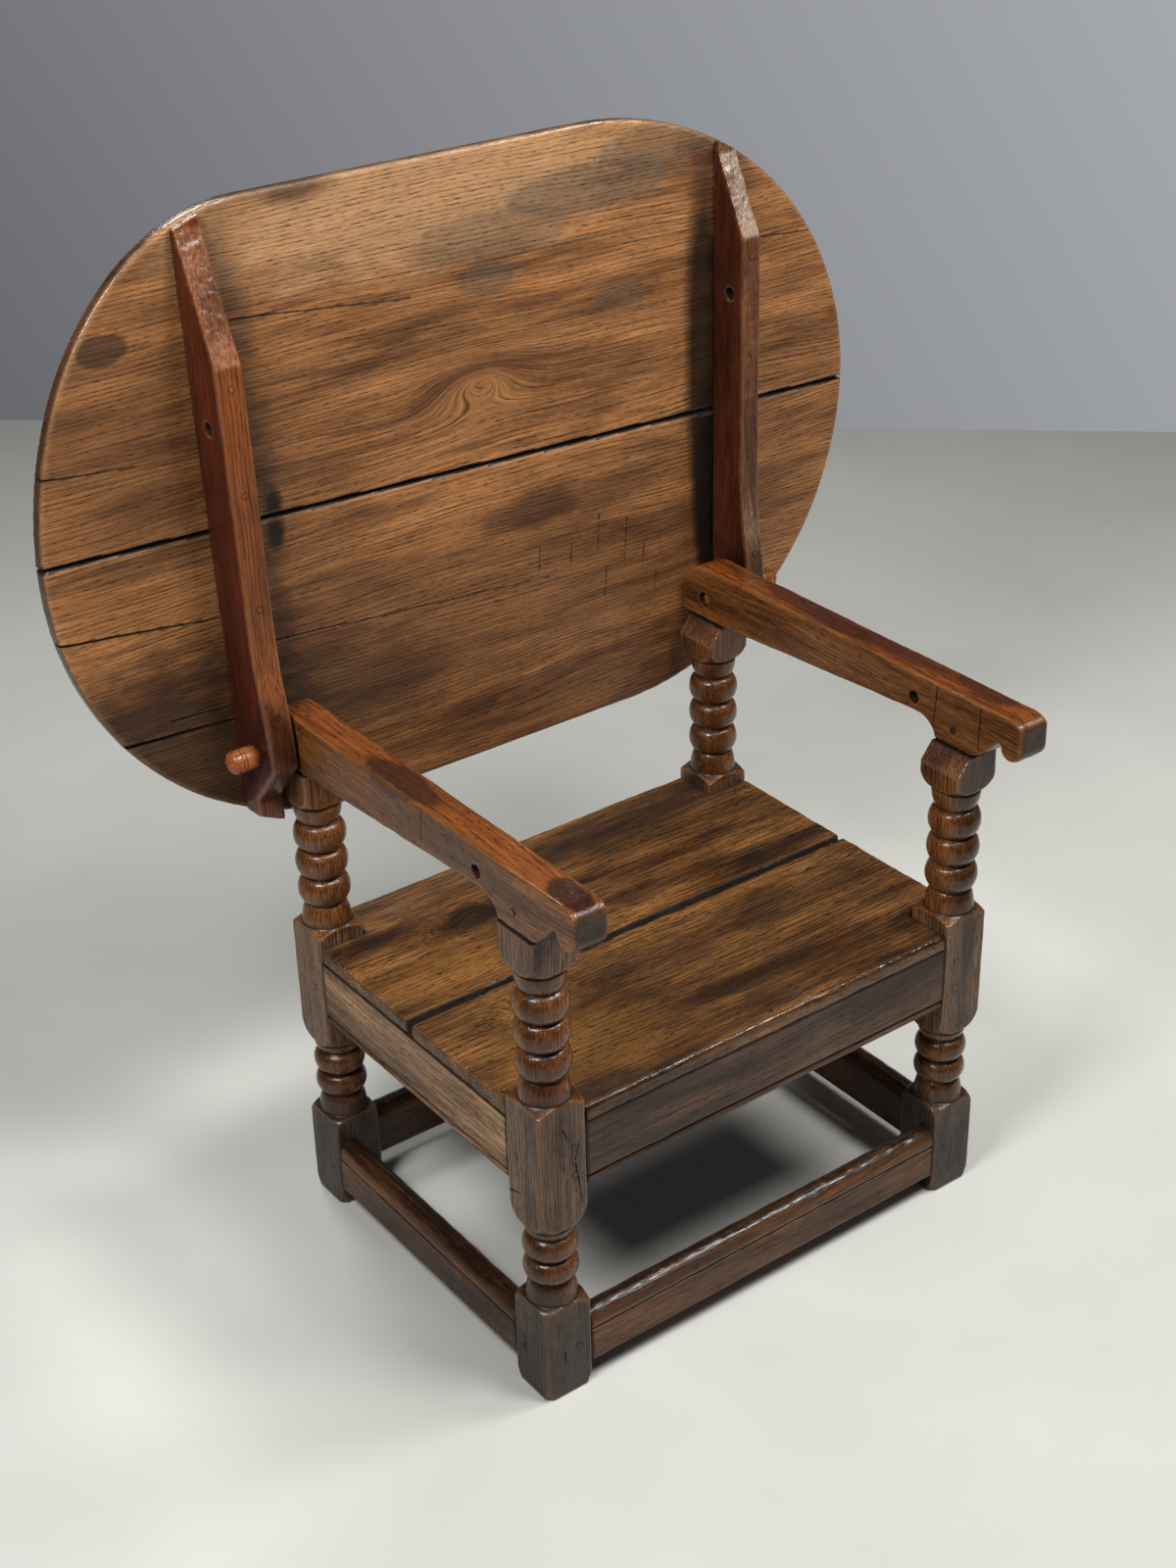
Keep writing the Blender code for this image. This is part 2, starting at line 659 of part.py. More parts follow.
def make_top_board(name, upper):
    """The upper or lower board: the whole outline, sawn along the joint."""
    board = prism(name, top_outline(0), along_y, BOARD_FACE, BOARD_FACE + TOP_THICKNESS)

    def rim(a, b):
        return abs(a.y - b.y) < CLEARANCE

    soften(board, TOP_ROUND, 2, rim)
    way = 1 if upper else -1
    slope = (TOP_JOINT_RIGHT - TOP_JOINT_LEFT) / TOP_LENGTH
    bm = bmesh.new()
    bm.from_mesh(board.data)
    cut = bmesh.ops.bisect_plane(bm, geom=bm.verts[:] + bm.edges[:] + bm.faces[:],
                                 plane_co=(0, 0, joint_height(0) + way * TOP_JOINT / 2),
                                 plane_no=(way * slope, 0, -way), clear_outer=True)
    edges = [e for e in cut["geom_cut"] if isinstance(e, bmesh.types.BMEdge)]
    bmesh.ops.holes_fill(bm, edges=edges)
    bmesh.ops.recalc_face_normals(bm, faces=bm.faces)
    bm.to_mesh(board.data)
    bm.free()
    pegs = [peg for side in SIDES for peg in batten_pegs(side)]
    bore(board, [peg_hole(peg) for peg in pegs if (peg[0][2] > joint_height(peg[0][0])) == upper])
    return board


def splay(side):
    return BATTEN_SPLAY_LEFT if side == "left" else BATTEN_SPLAY_RIGHT


def batten_thickness(side):
    return BATTEN_THICKNESS_LEFT if side == "left" else BATTEN_THICKNESS_RIGHT


def batten_face(side, height):
    """x of a batten's inner face at a height along the boards."""
    lean_out = math.tan(splay(side)) * (height + TOP_TAIL)
    return SIDES[side] * (HALF_WIDTH + BATTEN_GAP + lean_out)


def batten_reach(side, height):
    """How far a batten stands off the boards below its taper: deepest round the pin."""
    depth = BATTEN_DEPTH_LEFT if side == "left" else BATTEN_DEPTH_RIGHT
    share = min(max(height / BATTEN_EYE_REACH, 0.0), 1.0)
    return depth + BATTEN_EYE_SWELL * (0.5 + 0.5 * math.cos(math.pi * share))


def batten_outline(side):
    """Side view of a batten as (y, z), overlong at both ends."""
    back = BOARD_FACE - CLEARANCE
    beyond = TOP_CENTRE + HALF_HEIGHT
    outer = abs(batten_face(side, beyond)) + batten_thickness(side)
    taper_end = top_edge(side, outer) - BATTEN_INSET
    eye_front = back - batten_reach(side, 0)
    toe_front = back - BATTEN_TOE_DEPTH
    heel = -PIN_HEAD_RADIUS
    tip = [(back, beyond), (back - BATTEN_TIP_DEPTH, beyond), (back - BATTEN_TIP_DEPTH, taper_end)]
    taper = [(back - batten_reach(side, BATTEN_TAPER_START), BATTEN_TAPER_START)]
    eye = [(back - batten_reach(side, z), z)
           for z in (BATTEN_EYE_REACH * (1 - i / EYE_STEPS) for i in range(EYE_STEPS + 1))]
    toe = [(eye_front, heel), (toe_front, heel - BATTEN_TOE_LENGTH), (toe_front, -TOP_TAIL)]
    return tip + taper + eye + toe + [(back, -TOP_TAIL)]


def batten_pegs(side):
    """Pegs through a batten into the boards."""
    pegs = []
    for height in BATTEN_PEGS:
        x = batten_face(side, height) + SIDES[side] * batten_thickness(side) / 2
        front = BOARD_FACE - CLEARANCE - batten_reach(side, height) - PEG_PROUD
        pegs.append(((x, front, height), (x, BOARD_FACE + BATTEN_PEG_BITE, height)))
    return pegs


def make_batten(name, side):
    """One batten: pivot eye at the foot, tapered tip, ends trimmed to the boards' round ends."""
    way = SIDES[side]
    inner = way * (HALF_WIDTH + BATTEN_GAP)
    batten = prism(name, batten_outline(side), along_x, inner, inner + way * batten_thickness(side))
    front = BOARD_FACE - BATTEN_ARRIS * 2

    def arris(a, b):
        in_front = max(a.y, b.y) < front
        return in_front and abs(a.x - b.x) < CLEARANCE

    soften(batten, BATTEN_ARRIS, 1, arris)
    for vert in batten.data.vertices:
        vert.co.x += batten_face(side, vert.co.z) - inner
    around = top_outline(BATTEN_INSET)
    trim = prism("trim", around, along_y, BOARD_FACE - FRAME_DEPTH, BOARD_FACE + FRAME_DEPTH)
    combine(batten, trim, "INTERSECT")
    far = way * TOP_LENGTH
    lock_y = BOARD_FACE - (LOCK_DROP + CLEARANCE)
    bore(batten, [((0, 0, 0), (far, 0, 0), PIN_RADIUS + CLEARANCE),
                  ((0, lock_y, LOCK_REACH), (far, lock_y, LOCK_REACH), LOCK_RADIUS)], PIN_SIDES)
    bore(batten, [peg_hole(peg) for peg in batten_pegs(side)])
    return batten


# Pivot pins

def make_pin(name, side):
    """A turned pin: a plain shank, a short neck, and a knob with two fine grooves and a domed end."""
    way = SIDES[side]
    outer_face = abs(batten_face(side, 0)) + batten_thickness(side)
    seat = outer_face + PIN_NECK
    shank = seat - (HALF_WIDTH - ARM_WIDTH) - PIN_INSET
    profile = [(0, -shank), (PIN_RADIUS - PIN_GROOVE, -shank), (PIN_RADIUS, PIN_GROOVE - shank)]
    profile += [(PIN_RADIUS, 0), (PIN_HEAD_RADIUS - PIN_GROOVE, 0), (PIN_HEAD_RADIUS, PIN_GROOVE)]
    for middle in (PIN_GROOVE_INNER, PIN_GROOVE_OUTER):
        profile += [(PIN_HEAD_RADIUS, middle - PIN_GROOVE), (PIN_HEAD_RADIUS - PIN_GROOVE, middle),
                    (PIN_HEAD_RADIUS, middle + PIN_GROOVE)]
    profile += arc((0, PIN_HEAD_LENGTH - PIN_DOME), (PIN_HEAD_RADIUS, PIN_DOME), 0, 90, DOME_STEPS)[:-1]
    profile += [(0, PIN_HEAD_LENGTH)]
    pin = turned(name, profile, PIN_SIDES)
    pin.data.transform(Matrix.Rotation(way * math.radians(90), 4, "Y"))
    pin.location = (way * seat, 0, 0)
    return pin


def make_pegs(name, pegs, material):
    """One object for each of a row of like pegs."""
    pieces = []
    for number, (start, end) in enumerate(pegs, 1):
        bm = bmesh.new()
        add_rod(bm, start, end, PEG_RADIUS)
        peg_name = f"{name}_{number}" if len(pegs) > 1 else name
        pieces.append(finish(solid(peg_name, bm), material))
    return pieces


# Assembly

def build_frame():
    """Posts, rails, stretchers, seat, arms and their pegs."""
    turned_oak = oak("turned_oak", "#4a2f1c", 0.35)
    rail_oak = oak("rail_oak", "#5e4936", 0.55)
    seat_oak = oak("seat_oak", "#7a5430", 0.40)
    arm_oak = oak("arm_oak", "#8a4f24", 0.32)
    peg_oak = oak("peg_oak", "#3a2718", 0.50)
    pieces = []
    for end_name, end in ENDS.items():
        for side_name, side in SIDES.items():
            pieces.append(finish(make_post(f"post_{end_name}_{side_name}", side, end), turned_oak))
            for kind, joinery in (("rail", RAIL_JOINERY), ("stretcher", STRETCHER_JOINERY)):
                across = joinery.across_pegs(side, end)
                along = joinery.along_pegs(side, end)
                pieces += make_pegs(f"{kind}_peg_{end_name}_{side_name}", across, peg_oak)
                pieces += make_pegs(f"{kind}_peg_{side_name}_{end_name}", along, peg_oak)
            pieces += make_pegs(f"seat_peg_{end_name}_{side_name}", [seat_peg(side, end)], peg_oak)
        rail = make_across(f"rail_{end_name}", end, RAIL_JOINERY, rail_outline())
        stretcher = make_across(f"stretcher_{end_name}", end, STRETCHER_JOINERY, stretcher_outline())
        board = make_seat_board(f"seat_board_{end_name}", end)
        pieces += [finish(rail, rail_oak), finish(stretcher, rail_oak), finish(board, seat_oak)]
    for side_name, side in SIDES.items():
        rail = make_along(f"rail_{side_name}", side, RAIL_JOINERY, rail_outline())
        bore(rail, [peg_hole(seat_peg(side, end)) for end in ENDS.values()])
        stretcher = make_along(f"stretcher_{side_name}", side, STRETCHER_JOINERY, stretcher_outline())
        arm = make_arm(f"arm_{side_name}", side)
        pieces += [finish(rail, rail_oak), finish(stretcher, rail_oak), finish(arm, arm_oak)]
        pieces += make_pegs(f"arm_peg_{side_name}", [arm_peg(side)], peg_oak)
    return pieces


def build_top():
    """The two boards, their battens and pegs, and the two pivot pins."""
    board_oak = oak("board_oak", "#8d6238", 0.45)
    batten_oak = oak("batten_oak", "#6a2f1b", 0.30)
    peg_oak = oak("batten_peg_oak", "#3a2718", 0.50)
    pin_oak = oak("pin_oak", "#8a4a22", 0.28)
    pieces = [finish(make_top_board("top_board_upper", True), board_oak),
              finish(make_top_board("top_board_lower", False), board_oak)]
    for side in SIDES:
        pieces.append(finish(make_batten(f"batten_{side}", side), batten_oak))
        pieces.append(finish(make_pin(f"pivot_pin_{side}", side), pin_oak))
        pieces += make_pegs(f"batten_peg_{side}", batten_pegs(side), peg_oak)
    return pieces


def empty(name, location, parent=None):
    """An empty that carries the pieces of one body."""
    carrier = bpy.data.objects.new(name, None)
    carrier.location = location
    carrier.parent = parent
    bpy.context.scene.collection.objects.link(carrier)
    return carrier


def main():
    for obj in list(bpy.data.objects):
        bpy.data.objects.remove(obj, do_unlink=True)
    frame_pieces = build_frame()
    top_pieces = build_top()
    chair = empty("chair_table", (0, ORIGIN_SHIFT, 0))
    pivot = empty("top_pivot", (0, PIVOT_Y, PIVOT_Z), chair)
    pivot.rotation_euler.x = -LEAN
    for piece in frame_pieces:
        piece.parent = chair
    for piece in top_pieces:
        piece.parent = pivot
    bpy.context.view_layer.update()


main()
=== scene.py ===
"""Dresses the oak chair-table: worn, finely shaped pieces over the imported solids, oak finishes and a stage.

Metres, +Z up. The front faces -Y, and left is -X as seen by someone looking at the front.
"""

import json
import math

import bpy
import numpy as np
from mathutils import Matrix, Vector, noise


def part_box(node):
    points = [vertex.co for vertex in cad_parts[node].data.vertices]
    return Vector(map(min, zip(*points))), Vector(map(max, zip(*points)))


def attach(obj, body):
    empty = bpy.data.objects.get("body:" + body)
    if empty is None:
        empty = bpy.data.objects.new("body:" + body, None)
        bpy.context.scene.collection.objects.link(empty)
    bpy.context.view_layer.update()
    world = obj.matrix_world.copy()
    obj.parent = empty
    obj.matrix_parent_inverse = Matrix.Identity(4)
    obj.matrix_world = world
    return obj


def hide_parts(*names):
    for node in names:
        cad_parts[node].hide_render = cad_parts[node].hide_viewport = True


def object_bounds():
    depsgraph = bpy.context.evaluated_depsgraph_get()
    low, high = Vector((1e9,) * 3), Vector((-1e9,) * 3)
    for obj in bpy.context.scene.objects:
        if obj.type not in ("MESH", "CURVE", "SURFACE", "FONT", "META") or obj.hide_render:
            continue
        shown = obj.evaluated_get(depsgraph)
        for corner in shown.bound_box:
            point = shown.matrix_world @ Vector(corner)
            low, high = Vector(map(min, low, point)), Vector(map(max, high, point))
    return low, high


bl_info = {
    "name": "Oak chair-table",
    "version": (1, 0, 0),
    "blender": (4, 5, 0),
    "location": "View3D > Sidebar > Chair-table",
    "description": "Old joined-oak chair whose back tips forward on two pins and becomes a table",
    "category": "Add Mesh",
}

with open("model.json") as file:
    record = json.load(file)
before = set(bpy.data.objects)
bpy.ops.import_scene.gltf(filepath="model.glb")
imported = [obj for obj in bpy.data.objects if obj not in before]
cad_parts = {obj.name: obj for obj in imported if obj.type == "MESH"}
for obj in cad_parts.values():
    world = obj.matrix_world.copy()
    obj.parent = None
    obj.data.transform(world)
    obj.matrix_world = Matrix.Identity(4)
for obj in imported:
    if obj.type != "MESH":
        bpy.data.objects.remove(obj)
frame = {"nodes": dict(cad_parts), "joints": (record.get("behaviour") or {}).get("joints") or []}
CAD_LOW, CAD_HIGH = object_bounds()

MM = 0.001
WELD = 0.01 * MM
SIDES = {"left": -1, "right": 1}
ENDS = {"front": -1, "rear": 1}

# Where the frame stands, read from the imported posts
POST_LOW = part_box("post_front_left")[0]
POST_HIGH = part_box("post_rear_right")[1]
HALF_WIDTH = POST_HIGH.x
HALF_DEPTH = (POST_HIGH.y - POST_LOW.y) / 2
MIDDLE_Y = (POST_HIGH.y + POST_LOW.y) / 2
POST_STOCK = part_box("post_front_left")[1].x - POST_LOW.x
POST_X = HALF_WIDTH - POST_STOCK / 2
POST_Y = HALF_DEPTH - POST_STOCK / 2

# Heights up a post
FOOT_TOP = 0.137
BLOCK_BASE = 0.250
BLOCK_TOP = 0.430
HEAD_BASE = 0.605
POST_TOP = 0.657
SEAT_TOP = 0.410
SEAT_UNDERSIDE = 0.389
ARM_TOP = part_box("arm_left")[1].z
ARM_WIDTH = 0.047
ARM_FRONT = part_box("arm_left")[0].y

# The top turns about this point, and leans back by what its hinge turns past a right angle
HINGE = frame["joints"][0]
PIVOT = Vector(HINGE["pos_m"])
LEAN = math.radians(HINGE["range_deg"][1] - 90)
PIVOT_DROP = ARM_TOP - PIVOT.z
PIVOT_RISE = PIVOT.z - POST_TOP
BOARD_FACE = PIVOT_DROP + 0.3 * MM
TOP_HALF_LENGTH = CAD_HIGH.x
TOP_HALF_HEIGHT = 0.3915
TOP_TAIL = 0.135
TOP_CENTRE = TOP_HALF_HEIGHT - TOP_TAIL
LOCK_REACH = 0.405
LOCK_DROP = 0.0345
LOCK_RADIUS = 0.0075
PIN_RADIUS = 0.009
PIN_BORE = PIN_RADIUS + 0.3 * MM
ACROSS = (0, math.radians(90), 0)


# Modelling by hand

def pick(piece):
    """Leaves one piece selected and active."""
    bpy.ops.object.select_all(action="DESELECT")
    piece.select_set(True)
    bpy.context.view_layer.objects.active = piece


def edit(piece):
    """Opens a piece with everything in it selected."""
    pick(piece)
    bpy.ops.object.mode_set(mode="EDIT")
    bpy.ops.mesh.select_all(action="SELECT")


def close():
    """Turns all faces outwards and leaves edit mode."""
    bpy.ops.mesh.select_all(action="SELECT")
    bpy.ops.mesh.normals_make_consistent(inside=False)
    bpy.ops.object.mode_set(mode="OBJECT")


def draw(name, outline, place):
    """A flat face: a filled circle whose corners are moved onto an outline."""
    bpy.ops.object.select_all(action="DESELECT")
    bpy.ops.mesh.primitive_circle_add(vertices=len(outline), radius=1.0, fill_type="NGON")
    piece = bpy.context.object
    piece.name = name
    piece.data.name = name
    for vert, point in zip(piece.data.vertices, outline):
        vert.co = place(*point)
    return piece


def extrude(piece, shift):
    """Pulls the drawn face out into a solid."""
    edit(piece)
    bpy.ops.mesh.extrude_region_move(TRANSFORM_OT_translate={"value": shift})
    close()
    return piece


def turn(name, profile, sides):
    """Spins (radius, height) points round the Z axis, as on a lathe."""
    piece = draw(name, profile, lambda radius, height: (radius, 0, height))
    edit(piece)
    bpy.ops.mesh.delete(type="ONLY_FACE")
    bpy.ops.mesh.select_all(action="SELECT")
    bpy.ops.mesh.spin(steps=sides, angle=math.tau, center=(0, 0, 0), axis=(0, 0, 1))
    bpy.ops.mesh.select_all(action="SELECT")
    bpy.ops.mesh.remove_doubles(threshold=WELD)
    close()
    return piece


def choose_edges(piece, wanted):
    """Opens a piece with only the edges selected whose two ends pass a test."""
    edit(piece)
    bpy.ops.mesh.select_mode(type="EDGE")
    bpy.ops.mesh.select_all(action="DESELECT")
    bpy.ops.object.mode_set(mode="OBJECT")
    verts = piece.data.vertices
    for edge in piece.data.edges:
        a, b = edge.vertices
        edge.select = wanted(verts[a].co, verts[b].co)
    bpy.ops.object.mode_set(mode="EDIT")


def round_over(piece, radius, segments, wanted):
    """Rounds the chosen edges."""
    choose_edges(piece, wanted)
    bpy.ops.mesh.bevel(offset=radius, segments=segments, affect="EDGES", profile=0.5)
    close()


def saw(piece, point, normal):
    """Takes off all that lies beyond a plane, and closes the cut."""
    edit(piece)
    bpy.ops.mesh.bisect(plane_co=point, plane_no=normal, use_fill=True, clear_outer=True)
    close()


def modify(piece, kind, **settings):
    """Adds a modifier and applies it."""
    pick(piece)
    modifier = piece.modifiers.new(kind.title(), kind)
    for key, value in settings.items():
        setattr(modifier, key, value)
    bpy.ops.object.modifier_apply(modifier=modifier.name)


def combine(piece, tool, operation):
    """Cuts the piece with a tool, or keeps what both share, and removes the tool."""
    modify(piece, "BOOLEAN", operation=operation, solver="MANIFOLD", object=tool)
    bpy.data.objects.remove(tool, do_unlink=True)


def bore(piece, centre, radius, length, rotation):
    """Drills a round hole right through."""
    bpy.ops.object.select_all(action="DESELECT")
    bpy.ops.mesh.primitive_cylinder_add(vertices=48, radius=radius, depth=length, location=centre,
                                        rotation=rotation)
    combine(piece, bpy.context.object, "DIFFERENCE")


def along_x(u, v, depth=0.0):
    return (depth, u, v)


def along_y(u, v, depth=0.0):
    return (u, depth, v)


def along_z(u, v, depth=0.0):
    return (u, v, depth)


# The two axes that a drawing lies in, and the one that it is pulled along
DRAWN_ON = {along_x: ((1, 2), 0), along_y: ((0, 2), 1), along_z: ((0, 1), 2)}


def crack(piece, start, end, opening, face, bottom, place, wander=1.6 * MM):
    """Opens a wandering split, widest at its start, from a face down to a bottom. Says where it runs."""
    start = Vector(start)
    end = Vector(end)
    along = end - start
    across = Vector((-along.y, along.x)).normalized()
    steps = max(8, int(along.length / (2 * MM)))
    path = []
    one_side = []
    other_side = []
    for i in range(steps + 1):
        share = i / steps
        middle = start + along * share
        middle += across * wander * noise.noise((middle.x * 16, middle.y * 16, bottom * 900))
        width = opening * (0.15 + 0.85 * (1 - share) ** 0.7) / 2
        path.append(middle)
        one_side.append(middle + across * width)
        other_side.append(middle - across * width)
    outline = [tuple(p) for p in one_side + other_side[::-1]]
    tool = draw("split", outline, lambda u, v: place(u, v, bottom))
    mouth = face + math.copysign(2 * MM, face - bottom)
    combine(piece, extrude(tool, Vector(place(0, 0, mouth - bottom))), "DIFFERENCE")
    return np.array(path), opening / 2 + 0.5 * MM, place, face, bottom


def even_out(piece, voxel, rounds):
    """Makes the mesh even and softens its arrises, as long use does."""
    modify(piece, "REMESH", mode="VOXEL", voxel_size=voxel, use_smooth_shade=True)
    modify(piece, "SMOOTH", factor=0.5, iterations=rounds)


def dent(piece, size, depth, weight=None, level=0.5):
    """Makes the surface uneven by a depth in patches of a size. At level 1 it is only pressed in."""
    texture = bpy.data.textures.new("dents", "CLOUDS")
    texture.noise_scale = size
    texture.noise_depth = 2
    group = ""
    if weight:
        group = "dents"
        weights = piece.vertex_groups.new(name=group)
        for vert in piece.data.vertices:
            weights.add([vert.index], weight(vert.co), "REPLACE")
    modify(piece, "DISPLACE", texture=texture, texture_coords="LOCAL", strength=depth, mid_level=level,
           vertex_group=group)
    piece.vertex_groups.clear()
    bpy.data.textures.remove(texture)


def settle(piece, location, rotation=(0, 0, 0), scale=(1, 1, 1)):
    """Moves a piece to its place and leaves that place in its mesh."""
    pick(piece)
    piece.location = location
    piece.rotation_euler = rotation
    piece.scale = scale
    bpy.ops.object.transform_apply(location=True, rotation=True, scale=True)
    edit(piece)
    close()


def copy_of(piece, name):
    """A copy with its own mesh."""
    pick(piece)
    bpy.ops.object.duplicate(linked=False)
    twin = bpy.context.object
    twin.name = name
    twin.data.name = name
    return twin


def mark(piece, rounds, dirt_and_shade=None, splits=(), polished=None):
    """Writes what the finishes read: wear, with dirt and painted shade in the hollows, facing and polish.

    Wear is in mm, above 0 on arrises and below 0 in hollows, which the finishes darken as dirt and painted
    shade.
    The dirt-and-shade and polished tests give 0 to 1 for arrays of x, y and z, and splits are what crack
    gives back.
    """
    mesh = piece.data
    count = len(mesh.vertices)
    spots = np.empty(count * 3, np.float32)
    mesh.vertices.foreach_get("co", spots)
    spots = spots.reshape(-1, 3).astype(float)
    ends = np.empty(len(mesh.edges) * 2, np.int32)
    mesh.edges.foreach_get("vertices", ends)
    a, b = ends[0::2], ends[1::2]
    neighbours = np.maximum(np.bincount(ends, minlength=count), 1)
    smooth = spots.copy()
    for _ in range(rounds):
        sums = [np.bincount(a, smooth[b, i], count) + np.bincount(b, smooth[a, i], count) for i in range(3)]
        smooth = np.stack(sums, axis=1) / neighbours[:, None]
    facing = np.empty(count * 3, np.float32)
    mesh.vertex_normals.foreach_get("vector", facing)
    wear = ((spots - smooth) * facing.reshape(-1, 3)).sum(axis=1) / MM
    # Where a piece meets others or lies sunk in, dirt and painted shade go in as hollows
    if dirt_and_shade:
        wear = np.minimum(wear, np.where(dirt_and_shade(*spots.T) > 0, -dirt_and_shade(*spots.T), wear))
    # Inside and round the splits: darkened as dirt and painted shade
    for path, reach, place, face, bottom in splits:
        flat, depth = DRAWN_ON[place]
        near = spots[:, flat]
        sunk = (spots[:, depth] - face) / (bottom - face)
        inside = ((near > path.min(0) - reach) & (near < path.max(0) + reach)).all(axis=1)
        found = np.flatnonzero(inside & (sunk > -0.5) & (sunk < 1.2))
        if len(found):
            gaps = np.linalg.norm(near[found, None] - path[None], axis=2).min(axis=1)
            found = found[gaps < reach]
            wear[found] = np.where(sunk[found] > 0.5, -1.0, -0.6)
    values = {"wear": wear}
    if polished:
        values["polished"] = polished(*spots.T)
    for name, value in values.items():
        mesh.attributes.new(name, "FLOAT", "POINT").data.foreach_set("value", value.astype(np.float32))
    mesh.attributes.new("facing", "FLOAT_VECTOR", "POINT").data.foreach_set("vector", facing)


def clamp(value):
    """A value held between 0 and 1."""
    return min(max(value, 0.0), 1.0)


def near_zero(distance, width):
    """1 where a distance is 0, falling to 0 at a width."""
    return np.clip(1 - np.abs(distance) / width, 0, 1)


def deliver(piece, material, body, slot, *nodes):
    """Finishes a piece: material, smooth shading, and the body and solids that it goes with."""
    piece.data.materials.clear()
    piece.data.materials.append(material)
    pick(piece)
    bpy.ops.object.shade_smooth_by_angle(angle=math.radians(40))
    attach(piece, body)
    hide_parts(*nodes)


def arc(centre, radii, start, end, steps):
    """Points on an ellipse between two angles in degrees."""
    angles = [math.radians(start + (end - start) * i / steps) for i in range(steps + 1)]
    return [(centre[0] + radii[0] * math.cos(a), centre[1] + radii[1] * math.sin(a)) for a in angles]


# Materials

def linear(hex_colour):
    """Linear RGB of an sRGB colour written as #rrggbb."""
    channels = [int(hex_colour[i:i + 2], 16) / 255 for i in (1, 3, 5)]
    return [c / 12.92 if c <= 0.04045 else ((c + 0.055) / 1.055) ** 2.4 for c in channels]


def add_node(tree, kind, inputs=None, stops=None, **settings):
    """Adds a shader node and gives back its outputs.

    Inputs are values or other nodes' sockets, and stops are a ramp's (place, value) pairs.
    """
    node = tree.nodes.new("ShaderNode" + kind)
    for key, value in settings.items():
        setattr(node, key, value)
    for socket, value in (inputs or {}).items():
        if isinstance(value, bpy.types.NodeSocket):
            tree.links.new(value, node.inputs[socket])
        else:
            node.inputs[socket].default_value = value
    for i, (place, value) in enumerate(stops or ()):
        ramp = node.color_ramp.elements
        stop = ramp[i] if i < 2 else ramp.new(place)
        stop.position = place
        stop.color = (*value, 1.0)
    return node.outputs


def grey(value):
    return (value, value, value)


def tones(tint, contrast):
    """Ramp stops from the dark to the light wood of one tint."""
    dark = [c * share ** contrast for c, share in zip(tint, (0.46, 0.41, 0.38))]
    light = [min(c * share ** contrast, 1.0) for c, share in zip(tint, (1.45, 1.48, 1.5))]
    return [(0.36, dark), (0.65, light), (0.50, tint)]


# Grain patterns of oak as (length along the grain, width, detail), in mm. Real pores are 0.3 mm wide, and
# are drawn 1.4 mm wide so that they show in the render.
GRAIN = {"tone": (330, 48, 4), "mottle": (52, 24, 5), "streak": (95, 2.6, 3), "fleck": (15, 1.4, 1),
         "speck": (18, 5, 2)}
# A stain's edge: where it starts and is full, and how far the mottling breaks it up
SOFT_EDGE = (0.55, 1.05, 1.0)
BROKEN_EDGE = (0.62, 0.86, 1.3)
STRAIGHT_EDGE = (0.10, 0.50, 0.2)
ALONG_X = (0, 0, 0)
ALONG_Y = (0, 0, 90)
ALONG_Z = (0, -90, 0)


